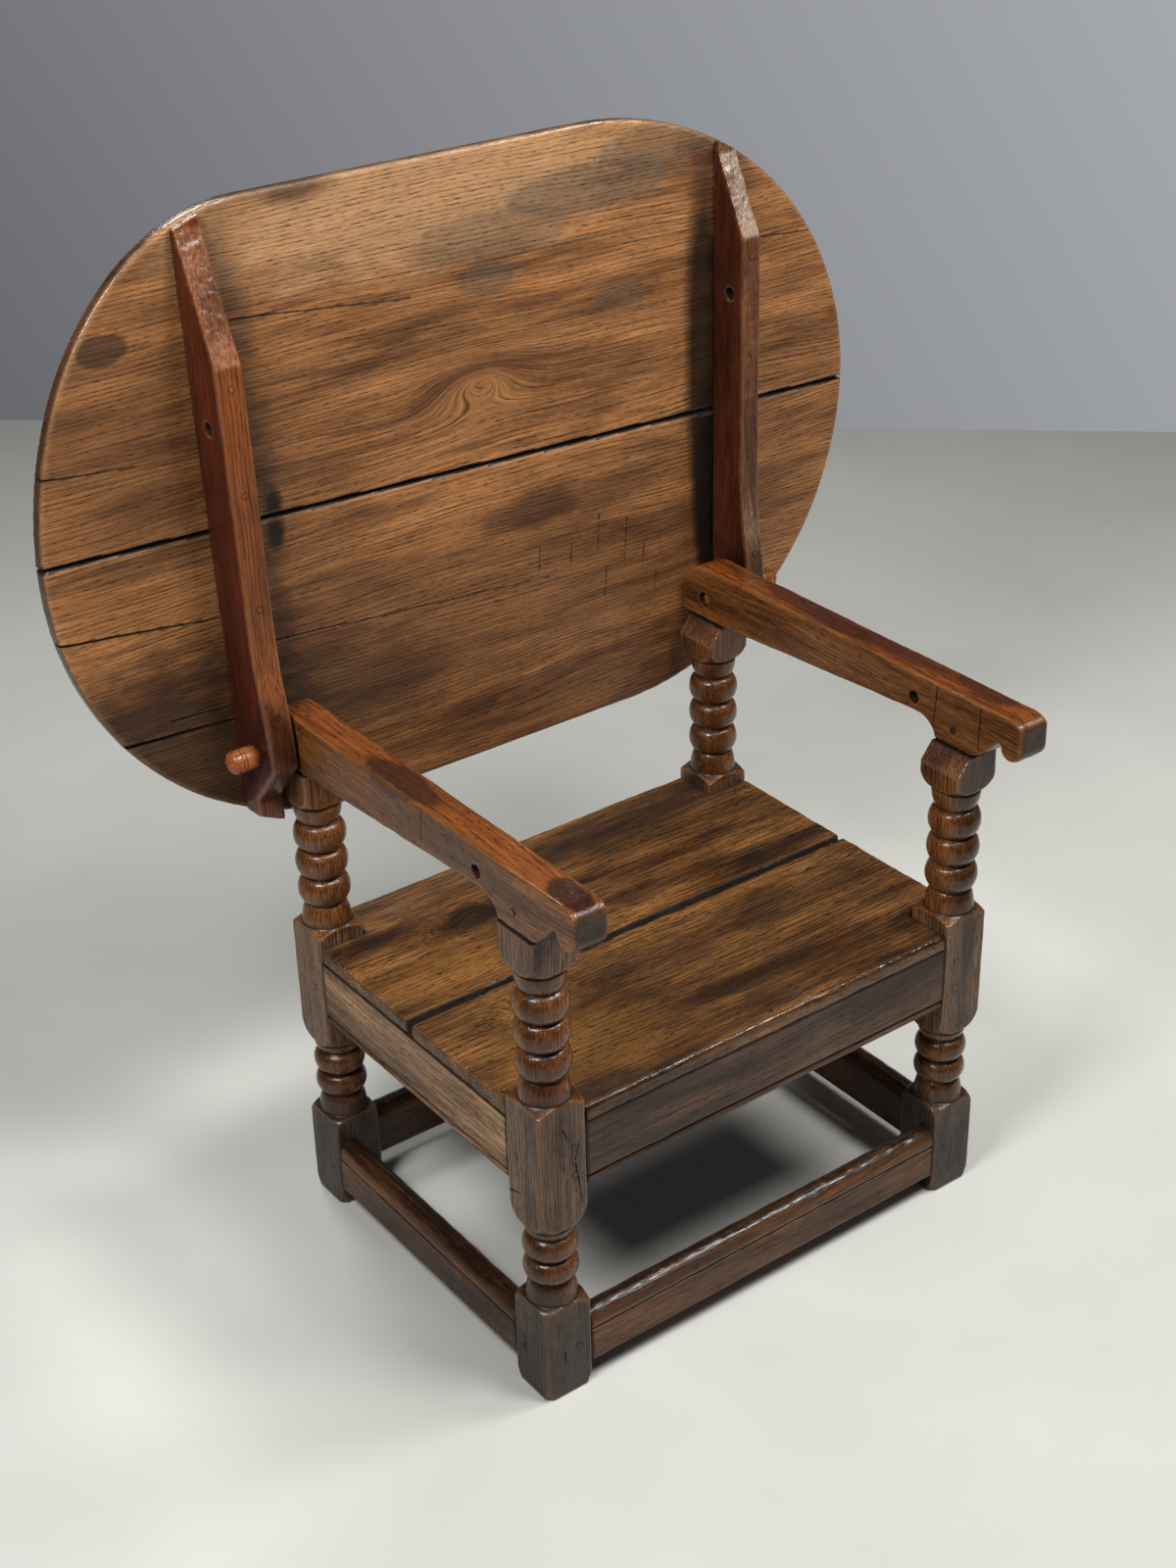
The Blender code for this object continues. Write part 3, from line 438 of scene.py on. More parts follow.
def oak(name, run, tint, zones=(), origin=(0, 0, 0), lean=0.0, seed=0.0, coarse=1.0, contrast=1.0, ring=4.5,
        lines=0.5, flecks=0.6, specks=0.35, rough=(0.3, 0.5), rub=0.2, worn="#9a6f48", grime_and_shade="#120a06",
        wax=0.1, stains=(), knots=()):
    """Old oak, oiled and waxed for centuries: dark growth lines and open pores on a warm uneven brown.

    The grain runs along the local X axis. Zones are (direction or "polished", tint, roughness): what faces
    that way, or was polished, has its own colour and gloss. Stains are (centre, radii, colour, strength,
    edge) and knots are (centre, radii, lift in mm), both from the origin along the leaning axes.
    """
    material = bpy.data.materials.new(name)
    material.use_nodes = True
    tree = material.node_tree
    shader = tree.nodes["Principled BSDF"]
    place = add_node(tree, "TexCoord")["Object"]
    square = add_node(tree, "Mapping", {"Vector": place, "Location": origin,
                      "Rotation": (lean, 0, 0)}, vector_type="TEXTURE")[0]
    local = add_node(tree, "Mapping", {"Vector": square,
                     "Rotation": [math.radians(d) for d in run]}, vector_type="TEXTURE")[0]
    local = add_node(tree, "VectorMath", {0: local, 1: (seed, seed * 0.7, seed * 0.3)})[0]

    # The grain wanders over half a metre, and climbs round the knots as contour lines do round a hill
    sway = add_node(tree, "Mapping", {"Vector": local, "Scale": (1.9, 6.5, 6.5)})[0]
    sway = add_node(tree, "TexNoise", {"Vector": sway, "Scale": 1.0, "Detail": 2.0})[0]
    sway = add_node(tree, "MapRange", {"Value": sway, "To Min": -24 * MM, "To Max": 24 * MM})
    axes = add_node(tree, "SeparateXYZ", {0: local})
    height = add_node(tree, "Math", {0: axes[2], 1: sway[0]})[0]
    for centre, radii, lift in knots:
        hill = add_node(tree, "Mapping", {"Vector": square, "Location": centre, "Scale": radii},
                        vector_type="TEXTURE")
        hill = add_node(tree, "TexGradient", {0: hill[0]}, gradient_type="QUADRATIC_SPHERE")
        height = add_node(tree, "Math", {0: hill["Fac"], 1: lift * MM, 2: height},
                          operation="MULTIPLY_ADD")[0]
    flow = add_node(tree, "CombineXYZ", {0: axes[0], 1: axes[1], 2: height})[0]
    grain = {}
    for key, (length, width, detail) in GRAIN.items():
        across = 1 / (width * coarse * MM)
        scaled = add_node(tree, "Mapping", {"Vector": flow, "Scale": (1 / (length * coarse * MM),
                          across, across)})[0]
        grain[key] = add_node(tree, "TexNoise", {"Vector": scaled, "Scale": 1.0, "Detail": detail,
                              "Roughness": 0.6})[0]
    layers = add_node(tree, "Math", {0: axes[1], 1: 0.6, 2: height}, operation="MULTIPLY_ADD")
    layers = add_node(tree, "Math", {0: layers[0], 1: ring * MM}, operation="DIVIDE")
    rings = add_node(tree, "Math", {0: layers[0]}, operation="FRACT")[0]
    rings = add_node(tree, "ValToRGB", {0: rings}, [(0.0, grey(1.0)), (0.18, grey(0.3)),
                     (0.5, grey(0.0)), (0.84, grey(0.0)), (1.0, grey(1.0))])[0]

    # Dark marks: broken growth lines, pores that crowd along them, and scattered larger flecks
    broken = add_node(tree, "MapRange", {"Value": grain["streak"], "From Min": 0.38,
                      "From Max": 0.62, "To Min": lines, "To Max": lines * 0.3})[0]
    marks = add_node(tree, "Math", {0: rings, 1: broken}, operation="MULTIPLY")[0]
    crowd = add_node(tree, "MapRange", {"Value": rings, "To Min": flecks * 0.45, "To Max": flecks})
    pores = add_node(tree, "MapRange", {"Value": grain["fleck"], "From Min": 0.54, "From Max": 0.63})[0]
    marks = add_node(tree, "Math", {0: pores, 1: crowd[0], 2: marks}, operation="MULTIPLY_ADD")[0]
    spots = add_node(tree, "MapRange", {"Value": grain["speck"], "From Min": 0.62,
                     "From Max": 0.71, "To Max": specks})[0]
    marks = add_node(tree, "Math", {0: marks, 1: spots}, operation="MAXIMUM", use_clamp=True)[0]

    colour = add_node(tree, "ValToRGB", {0: grain["tone"]}, tones(tint, contrast))[0]
    gloss = add_node(tree, "MapRange", {"Value": grain["mottle"], "From Min": 0.3, "From Max": 0.7,
                     "To Min": rough[0], "To Max": rough[1]})[0]
    facing = add_node(tree, "Attribute", attribute_name="facing")["Vector"]
    polish = add_node(tree, "Attribute", attribute_name="polished")["Fac"]
    for direction, zone_tint, zone_rough in zones:
        mask = polish
        if direction != "polished":
            mask = add_node(tree, "VectorMath", {0: facing, 1: direction}, operation="DOT_PRODUCT")
            mask = add_node(tree, "MapRange", {"Value": mask["Value"], "From Min": 0.45,
                            "From Max": 0.85})[0]
        other = add_node(tree, "ValToRGB", {0: grain["tone"]}, tones(zone_tint, contrast))[0]
        colour = add_node(tree, "Mix", {0: mask, 6: colour, 7: other}, data_type="RGBA")[2]
        gloss = add_node(tree, "Mix", {0: mask, 2: gloss, 3: zone_rough})[0]
    shade = add_node(tree, "ValToRGB", {0: grain["streak"]}, [(0.32, grey(0.5 ** contrast)),
                     (0.64, grey(1.15 ** contrast))])
    colour = add_node(tree, "Mix", {0: 1.0, 6: colour, 7: shade[0]}, data_type="RGBA",
                      blend_type="MULTIPLY")[2]

    # Stains with broken edges, each at its own place
    for centre, radii, stain, strength, edge in stains:
        spot = add_node(tree, "Mapping", {"Vector": square, "Location": centre, "Scale": radii},
                        vector_type="TEXTURE")
        spot = add_node(tree, "TexGradient", {0: spot[0]}, gradient_type="SPHERICAL")
        rim = add_node(tree, "Math", {0: grain["mottle"], 1: edge[2], 2: spot["Fac"]},
                       operation="MULTIPLY_ADD")[0]
        rim = add_node(tree, "MapRange", {"Value": rim, "From Min": edge[0], "From Max": edge[1],
                       "To Max": strength})[0]
        reach = add_node(tree, "MapRange", {"Value": spot["Fac"], "From Max": 0.2})
        rim = add_node(tree, "Math", {0: rim, 1: reach[0]}, operation="MULTIPLY")[0]
        colour = add_node(tree, "Mix", {0: rim, 6: colour, 7: (*linear(stain), 1)}, data_type="RGBA")[2]

    # Grime in the marks, dirt and painted shade in the hollows, pale wood on the rubbed arrises
    wear = add_node(tree, "Attribute", attribute_name="wear")["Fac"]
    rubbed = add_node(tree, "Math", {0: wear, 1: grain["mottle"]}, operation="MULTIPLY")[0]
    rubbed = add_node(tree, "MapRange", {"Value": rubbed, "From Min": 0.08, "From Max": 0.45})[0]
    paler = add_node(tree, "Math", {0: rubbed, 1: rub}, operation="MULTIPLY")[0]
    hollow_dirt_and_shade = add_node(tree, "MapRange", {"Value": wear, "From Min": -0.06, "From Max": -0.7,
                      "To Max": 0.92})[0]
    for share, cover in ((marks, grime_and_shade), (paler, worn), (hollow_dirt_and_shade, grime_and_shade)):
        cover = (*linear(cover), 1)
        colour = add_node(tree, "Mix", {0: share, 6: colour, 7: cover}, data_type="RGBA")[2]
    tree.links.new(colour, shader.inputs["Base Color"])

    for share, change in ((marks, 0.22), (hollow_dirt_and_shade, 0.35), (rubbed, -0.2)):
        gloss = add_node(tree, "Math", {0: share, 1: change, 2: gloss}, operation="MULTIPLY_ADD")[0]
    tree.links.new(gloss, shader.inputs["Roughness"])
    relief = add_node(tree, "Math", {0: marks, 1: -0.9, 2: grain["streak"]}, operation="MULTIPLY_ADD")
    relief = add_node(tree, "Bump", {"Height": relief[0], "Strength": 0.4, "Distance": 0.7 * MM})
    tree.links.new(relief[0], shader.inputs["Normal"])
    wax_film = {"IOR": 1.45, "Specular IOR Level": 0.4, "Coat Weight": wax, "Coat Roughness": 0.14}
    for socket, value in wax_film.items():
        shader.inputs[socket].default_value = value
    return material


# Settings that a user would change

class ChairTableSizes(bpy.types.PropertyGroup):
    """Sizes of the worked shapes."""

    bobbin_radius: bpy.props.FloatProperty(
        name="Bobbin radius", description="Widest radius of a turned bobbin", default=0.0333, unit="LENGTH")
    neck_radius: bpy.props.FloatProperty(
        name="Neck radius", description="Radius between two bobbins", default=0.0225, unit="LENGTH")
    post_round: bpy.props.FloatProperty(
        name="Post arris", description="Rounding of the posts' square corners", default=0.004, unit="LENGTH")
    arm_round: bpy.props.FloatProperty(
        name="Arm arris", description="Rounding of the arms' edges", default=0.005, unit="LENGTH")
    batten_round: bpy.props.FloatProperty(
        name="Batten arris", description="Rounding of the battens' edges", default=0.004, unit="LENGTH")
    seat_round: bpy.props.FloatProperty(
        name="Seat edge", description="Rounding of the seat's long edges", default=0.006, unit="LENGTH")
    top_round: bpy.props.FloatProperty(
        name="Top rim", description="Rounding of the table top's rim", default=0.004, unit="LENGTH")
    peg_radius: bpy.props.FloatProperty(
        name="Peg radius", description="Radius of the whittled pegs", default=0.0046, unit="LENGTH")
    split_opening: bpy.props.FloatProperty(
        name="Split opening", description="Width of an end split in the boards", default=0.0028,
        unit="LENGTH")


class ChairTableColours(bpy.types.PropertyGroup):
    """Colours of the oak, piece by piece, and of the stage."""

    posts: bpy.props.FloatVectorProperty(
        name="Posts", description="Square parts of the posts", subtype="COLOR", default=linear("#6e4f38"))
    turnings: bpy.props.FloatVectorProperty(
        name="Turnings", description="Polished bobbins of the posts", subtype="COLOR",
        default=linear("#6b3e1a"))
    rails: bpy.props.FloatVectorProperty(
        name="Rails", description="Front and rear seat rails", subtype="COLOR", default=linear("#4f3422"))
    side_rails: bpy.props.FloatVectorProperty(
        name="Side rails", description="Left and right seat rails", subtype="COLOR",
        default=linear("#96704d"))
    stretchers: bpy.props.FloatVectorProperty(
        name="Stretchers", description="Rails near the floor", subtype="COLOR", default=linear("#5d3717"))
    seat: bpy.props.FloatVectorProperty(
        name="Seat", description="Seat boards", subtype="COLOR", default=linear("#674320"))
    arm_sides: bpy.props.FloatVectorProperty(
        name="Arm sides", description="Sides of the arms", subtype="COLOR", default=linear("#7b4c24"))
    arm_tops: bpy.props.FloatVectorProperty(
        name="Arm tops", description="Upper side of the arms, where hands lie", subtype="COLOR",
        default=linear("#683612"))
    boards: bpy.props.FloatVectorProperty(
        name="Table top", description="Boards of the tilting top", subtype="COLOR",
        default=linear("#8f5f36"))
    left_batten: bpy.props.FloatVectorProperty(
        name="Left batten", description="Sides of the left batten", subtype="COLOR",
        default=linear("#4b1e11"))
    left_batten_front: bpy.props.FloatVectorProperty(
        name="Left batten front", description="Front of the left batten", subtype="COLOR",
        default=linear("#713a16"))
    right_batten: bpy.props.FloatVectorProperty(
        name="Right batten", description="Sides of the right batten", subtype="COLOR",
        default=linear("#4b2212"))
    right_batten_front: bpy.props.FloatVectorProperty(
        name="Right batten front", description="Front of the right batten", subtype="COLOR",
        default=linear("#573019"))
    pins: bpy.props.FloatVectorProperty(
        name="Pivot pins", description="Turned pivot pins", subtype="COLOR", default=linear("#8a4a22"))
    floor: bpy.props.FloatVectorProperty(
        name="Floor", description="Studio floor", subtype="COLOR", default=linear("#cfd0cb"))
    backdrop: bpy.props.FloatVectorProperty(
        name="Backdrop", description="Behind the floor", subtype="COLOR", default=linear("#8b8d91"))


# Posts

CORNER_REACH = POST_STOCK / 2 * math.sqrt(2) + 2.8 * MM
COLLAR_RADIUS = 0.0312
COLLAR = 0.028
SHORT_COLLAR = 0.016
NECK_FLAT = 0.0025
HEAD_CHAMFER = 0.024
GROOVE = 1.4 * MM
FOOT_WEAR_RADIUS = 0.041
FOOT_WEAR_HEIGHT = 0.030
FOOT_SHOULDER = 0.030
BLOCK_SHOULDER = 0.062
BLOCK_FACET = 0.010925
HEAD_SHOULDER = 0.042
LOWER_BOBBINS = 2
UPPER_BOBBINS = 3
POST_VOXEL = 1.25 * MM
# Splits of the front left post as (start, end, opening and depth in mm, how it is drawn). The block split
# through its two pegs and has a nick on the left, and the foot split too.
POST_SPLITS = (((-0.3005, 0.345), (-0.2945, 0.368), 1.4, 4, along_y),
               ((-0.3005, 0.342), (-0.2915, 0.278), 1.5, 4, along_y),
               ((-0.3170, 0.394), (-0.3105, 0.378), 1.2, 3, along_y),
               ((-0.196, 0.288), (-0.222, 0.295), 2.2, 3, along_x),
               ((-0.2177, 0.078), (-0.2200, 0.058), 1.3, 4, along_x),
               ((-0.3235, 0.068), (-0.3240, 0.048), 1.6, 3, along_y))


def shoulder(corner_height, collar_height):
    """A rounded shoulder from past the stock's corners in to a collar."""
    radii = (CORNER_REACH - COLLAR_RADIUS, collar_height - corner_height)
    return arc((COLLAR_RADIUS, corner_height), radii, 0, 90, 10)


def turning(base, top, bobbins, high_collar, sizes):
    """A collar, a row of bobbins and a collar, as (radius, height) points going up."""
    neck = sizes.neck_radius
    points = arc((neck, base), (COLLAR_RADIUS - neck, COLLAR), 8, 90, 10)
    first = base + COLLAR
    pitch = (top - high_collar - first) / bobbins
    swell = sizes.bobbin_radius - neck
    for i in range(bobbins):
        middle = first + pitch * (i + 0.5)
        points += arc((neck, middle), (swell, (pitch - NECK_FLAT) / 2), -88, 88, 24)
    return points + arc((neck, top), (COLLAR_RADIUS - neck, high_collar), -90, -8, 10)


def post_profile(sizes):
    """Outline of the turned stick, wider than the stock wherever the stock stays square."""
    beyond = POST_STOCK
    points = [(0, -beyond), (FOOT_WEAR_RADIUS, -beyond), (FOOT_WEAR_RADIUS, 0)]
    points += [(CORNER_REACH, FOOT_WEAR_HEIGHT)]
    points += shoulder(FOOT_TOP - FOOT_SHOULDER, FOOT_TOP)
    points += turning(FOOT_TOP, BLOCK_BASE - GROOVE, LOWER_BOBBINS, SHORT_COLLAR, sizes)
    points += [(COLLAR_RADIUS - 2 * GROOVE, BLOCK_BASE - GROOVE / 2)]
    points += shoulder(BLOCK_BASE + BLOCK_SHOULDER, BLOCK_BASE)[::-1]
    # A flat cut leaves a small bright facet on each corner of the block's top
    points += [(CORNER_REACH, BLOCK_TOP - BLOCK_FACET), (COLLAR_RADIUS, BLOCK_TOP)]
    points += turning(BLOCK_TOP, HEAD_BASE - GROOVE, UPPER_BOBBINS, COLLAR, sizes)
    points += [(COLLAR_RADIUS - 2 * GROOVE, HEAD_BASE - GROOVE / 2)]
    points += shoulder(HEAD_BASE + HEAD_SHOULDER, HEAD_BASE)[::-1]
    return points + [(CORNER_REACH, POST_TOP + beyond), (0, POST_TOP + beyond)]


def post_dirt_and_shade(x, y, z):
    """Dirt and painted shade in the fine grooves at the collars and under the arms."""
    heights = (FOOT_TOP, BLOCK_BASE - GROOVE / 2, BLOCK_TOP, HEAD_BASE - GROOVE / 2)
    grooves = [near_zero(z - h, 1.6 * MM) for h in heights]
    reach = np.hypot(np.abs(x) - POST_X, np.abs(y - MIDDLE_Y) - POST_Y)
    grooves = np.where(reach < COLLAR_RADIUS + 1.5 * MM, np.max(grooves, axis=0), 0)
    return np.maximum(grooves, near_zero(z - POST_TOP, 2 * MM))


def post_polish(x, y, z):
    """1 on the turned parts, 0 on the square ones. The heads are polished but for the front left one."""
    lower = (z > FOOT_TOP - 2 * MM) & (z < BLOCK_BASE + MM)
    upper = (z > BLOCK_TOP - 9 * MM) & (z < HEAD_BASE)
    head = (z > HEAD_BASE) & ((x > 0) | (y > 0))
    return np.where(lower | upper, 1.0, np.where(head, 0.7, 0.0))


class CHAIRTABLE_OT_posts(bpy.types.Operator):
    """Turns one bobbin post from square stock, and sets four copies at the corners"""

    bl_idname = "chair_table.posts"
    bl_label = "Bobbin-turned posts"

    def execute(self, context):
        sizes = context.scene.chair_table_sizes
        colours = context.scene.chair_table_colours
        half = POST_STOCK / 2
        stick = turn("stick", post_profile(sizes), 96)
        bpy.ops.object.select_all(action="DESELECT")
        bpy.ops.mesh.primitive_cube_add(size=1.0, location=(0, 0, POST_TOP / 2),
                                        scale=(POST_STOCK, POST_STOCK, POST_TOP))
        post = bpy.context.object
        settle(post, post.location, scale=post.scale)
        round_over(post, sizes.post_round, 4, lambda a, b: abs(a.z - b.z) > POST_TOP / 2)
        combine(post, stick, "INTERSECT")
        spare = POST_STOCK - ARM_WIDTH
        saw(post, (half - spare, 0, POST_TOP), (HEAD_CHAMFER, 0, spare))
        even_out(post, POST_VOXEL, 2)
        # The squares are dry and grey with open grain, the turnings dark and glossy from polishing
        # A dark stain low on the posts darkens the feet near the floor: painted shade
        finish = oak("waxed_oak_turned_posts", ALONG_Z, colours.posts,
                     [("polished", colours.turnings, 0.16)], seed=3.1, contrast=1.3, ring=4.2, lines=0.9,
                     flecks=0.9, specks=0.5, rough=(0.36, 0.58), wax=0.2,
                     stains=[((0, 0, 0), (1.6, 1.6, 0.24), "#211812", 0.85, SOFT_EDGE)])
        faces = {along_x: -HALF_WIDTH, along_y: MIDDLE_Y - HALF_DEPTH}
        for end_name, end in ENDS.items():
            for side_name, side in SIDES.items():
                node = f"post_{end_name}_{side_name}"
                corner = copy_of(post, f"worn_{node}")
                settle(corner, (side * POST_X, MIDDLE_Y + end * POST_Y, 0.02 * MM), scale=(-side, 1, 1))
                dent(corner, 0.022, 1.0 * MM, lambda p: 1.0 if p.z > 6 * MM else 0.0)
                splits = []
                if node == "post_front_left":
                    splits = [crack(corner, low, high, opening * MM, faces[place],
                                    faces[place] + depth * MM, place)
                              for low, high, opening, depth, place in POST_SPLITS]
                mark(corner, 13, post_dirt_and_shade, splits, post_polish)
                modify(corner, "DECIMATE", ratio=0.45)
                deliver(corner, finish, "frame", "turned_oak", node)
        bpy.data.objects.remove(post, do_unlink=True)
        return {"FINISHED"}


# Rails and stretchers

RAIL_BASE = 0.2997
RAIL_TOP = 0.3887
RAIL_THICKNESS = 0.026
RAIL_SETBACK = 0.0015
BEAD = 0.011
QUIRK = 0.003
STRETCHER_BASE = 0.030
STRETCHER_TOP = 0.102
STRETCHER_THICKNESS = 0.034
STRETCHER_QUIRK_DROP = 0.022
MOULDING_STEP = 0.0035


def fine(outline, step):
    """The same closed outline with corners added along its long sides."""
    points = []
    for a, b in zip(outline, outline[1:] + outline[:1]):
        count = max(1, int(math.dist(a, b) / step))
        points += [(a[0] + (b[0] - a[0]) * i / count, a[1] + (b[1] - a[1]) * i / count)
                   for i in range(count)]
    return points


def rail_section():
    """A seat rail's section: u runs in from the outer face, v is the height."""
    bead_top = RAIL_BASE + BEAD
    bead = arc((BEAD / 2, RAIL_BASE + BEAD / 2), (BEAD / 2, BEAD / 2), 130, 270, 12)
    face = [(0.8 * MM, RAIL_TOP), (0, RAIL_TOP - 0.8 * MM), (0, bead_top + QUIRK + 0.6 * MM),
            (0.3 * MM, bead_top + QUIRK), (2.3 * MM, bead_top + QUIRK * 0.6)]
    return face + bead + [(RAIL_THICKNESS, RAIL_BASE), (RAIL_THICKNESS, RAIL_TOP)]


def stretcher_section():
    """A stretcher's section: a flat outer face, a quirk and a rounded top."""
    radius = STRETCHER_THICKNESS / 2
    quirk = STRETCHER_TOP - STRETCHER_QUIRK_DROP
    top = arc((radius, STRETCHER_TOP - radius), (radius, radius), 0, 180, 26)
    base = [(1.5 * MM, STRETCHER_BASE), (STRETCHER_THICKNESS - 1.5 * MM, STRETCHER_BASE),
            (STRETCHER_THICKNESS, STRETCHER_BASE + 1.5 * MM)]
    return base + top + [
        (0.2 * MM, quirk + 0.8 * MM), (2.4 * MM, quirk - 0.6 * MM), (2.4 * MM, quirk - QUIRK + 0.8 * MM),
        (0.4 * MM, quirk - QUIRK), (0, quirk - QUIRK - 1.0 * MM), (0, STRETCHER_BASE + 1.5 * MM)]


def moulding_half(across):
    """Half the length of a rail or stretcher between two posts."""
    return (HALF_WIDTH if across else HALF_DEPTH) - POST_STOCK - 0.1 * MM


def run_of_moulding(name, section, across, way):
    """A length of a section between two posts, cut fine enough along its length to be dented."""
    half = moulding_half(across)
    face = (HALF_DEPTH if across else HALF_WIDTH) - RAIL_SETBACK
    if across:
        outline = [(MIDDLE_Y + way * (face - u), v) for u, v in fine(section, MOULDING_STEP)]
        piece = draw(name, outline, lambda u, v: along_x(u, v, -half))
        extrude(piece, (2 * half, 0, 0))
        choose_edges(piece, lambda a, b: abs(a.x - b.x) > half)
    else:
        outline = [(way * (face - u), v) for u, v in fine(section, MOULDING_STEP)]
        piece = draw(name, outline, lambda u, v: along_y(u, v, MIDDLE_Y - half))
        extrude(piece, (0, 2 * half, 0))
        choose_edges(piece, lambda a, b: abs(a.y - b.y) > half)
    bpy.ops.mesh.subdivide(number_cuts=int(2 * half / MOULDING_STEP))
    close()
    return piece


def moulding_dirt_and_shade(across, top):
    """Dirt and painted shade where a rail or stretcher meets the posts, and along its top edge under the
    seat.
    """
    half = moulding_half(across)

    def soil_and_shade(x, y, z):
        along = np.abs(x) if across else np.abs(y - MIDDLE_Y)
        return np.maximum(near_zero(half - along, 5 * MM), near_zero(top - z, 2.5 * MM))

    return soil_and_shade


class CHAIRTABLE_OT_rails(bpy.types.Operator):
    """Runs the four seat rails with their beads, between the posts' blocks"""

    bl_idname = "chair_table.rails"
    bl_label = "Beaded seat rails"

    def execute(self, context):
        colours = context.scene.chair_table_colours
        # Dry oak with wide open grain and hardly any polish left
        looks = {"coarse": 1.2, "contrast": 1.5, "ring": 4.2, "lines": 0.75, "flecks": 0.85, "specks": 0.5,
                 "rough": (0.38, 0.58), "rub": 0.15}
        across = oak("dry_oak_front_rails", ALONG_X, colours.rails, seed=1.7, **looks)
        along = oak("dry_oak_side_rails", ALONG_Y, colours.side_rails, seed=2.9, **looks)
        for name, way in {**ENDS, **SIDES}.items():
            is_across = name in ENDS
            piece = run_of_moulding(f"worn_rail_{name}", rail_section(), is_across, way)
            dent(piece, 0.03, 1.0 * MM)
            mark(piece, 2, moulding_dirt_and_shade(is_across, RAIL_TOP))
            deliver(piece, across if is_across else along, "frame", "rail_oak", f"rail_{name}")
        return {"FINISHED"}


class CHAIRTABLE_OT_stretchers(bpy.types.Operator):
    """Runs the four stretchers, with tops rounded and nicked by feet"""

    bl_idname = "chair_table.stretchers"
    bl_label = "Worn stretchers"

    def execute(self, context):
        colours = context.scene.chair_table_colours
        # Feet have polished the tops to a hard dark gloss, and left the sides dry
        looks = {"coarse": 1.2, "contrast": 1.5, "lines": 0.7, "flecks": 0.8, "specks": 0.6,
                 "rough": (0.36, 0.56)}
        glossy = [((0, 0, 1), linear("#3c2716"), 0.15)]
        tint = colours.stretchers
        across = oak("foot_worn_oak_front_stretchers", ALONG_X, tint, glossy, seed=4.3, **looks)
        along = oak("foot_worn_oak_side_stretchers", ALONG_Y, tint, glossy, seed=5.9, **looks)
        for name, way in {**ENDS, **SIDES}.items():
            is_across = name in ENDS
            piece = run_of_moulding(f"worn_stretcher_{name}", stretcher_section(), is_across, way)
            dent(piece, 0.035, 1.6 * MM, lambda p: 1.0 if p.z > STRETCHER_TOP - 0.02 else 0.4)
            dent(piece, 0.011, 2.0 * MM, lambda p: clamp((p.z - STRETCHER_TOP) / 0.012 + 1), 0.8)
            mark(piece, 2, moulding_dirt_and_shade(is_across, 1.0))
            deliver(piece, across if is_across else along, "frame", "rail_oak", f"stretcher_{name}")
        return {"FINISHED"}


# Seat

SEAT_SETBACK = 0.001
SEAT_GAP = 0.0044
SEAT_GAP_BELOW = 0.001
SEAT_GAP_TAPER = (SEAT_GAP - SEAT_GAP_BELOW) / 2 / (SEAT_TOP - SEAT_UNDERSIDE)
NOTCH_X = HALF_WIDTH - POST_STOCK - 1 * MM
NOTCH_Y = HALF_DEPTH - POST_STOCK - 1 * MM
SEAT_VOXEL = 2.2 * MM


def seat_dirt_and_shade(x, y, z):
    """Dirt and painted shade round the posts, in the joint, and along the lower edge."""
    corner = np.hypot(np.maximum(NOTCH_X - np.abs(x), 0), np.maximum(NOTCH_Y - np.abs(y - MIDDLE_Y), 0))
    joint = np.where((z < SEAT_TOP - 1.2 * MM) & (np.abs(y - MIDDLE_Y) < 8 * MM), 1.0, 0)
    return np.max([near_zero(corner, 5 * MM), joint, near_zero(z - SEAT_UNDERSIDE, 2.2 * MM)], axis=0)


def seat_polish(x, y, z):
    """1 on the rounded front edge, which legs have rubbed."""
    edge = near_zero(y - MIDDLE_Y + HALF_DEPTH - SEAT_SETBACK, 9 * MM)
    return np.where(z > SEAT_TOP - 9 * MM, np.minimum(1, 2 * edge), 0)


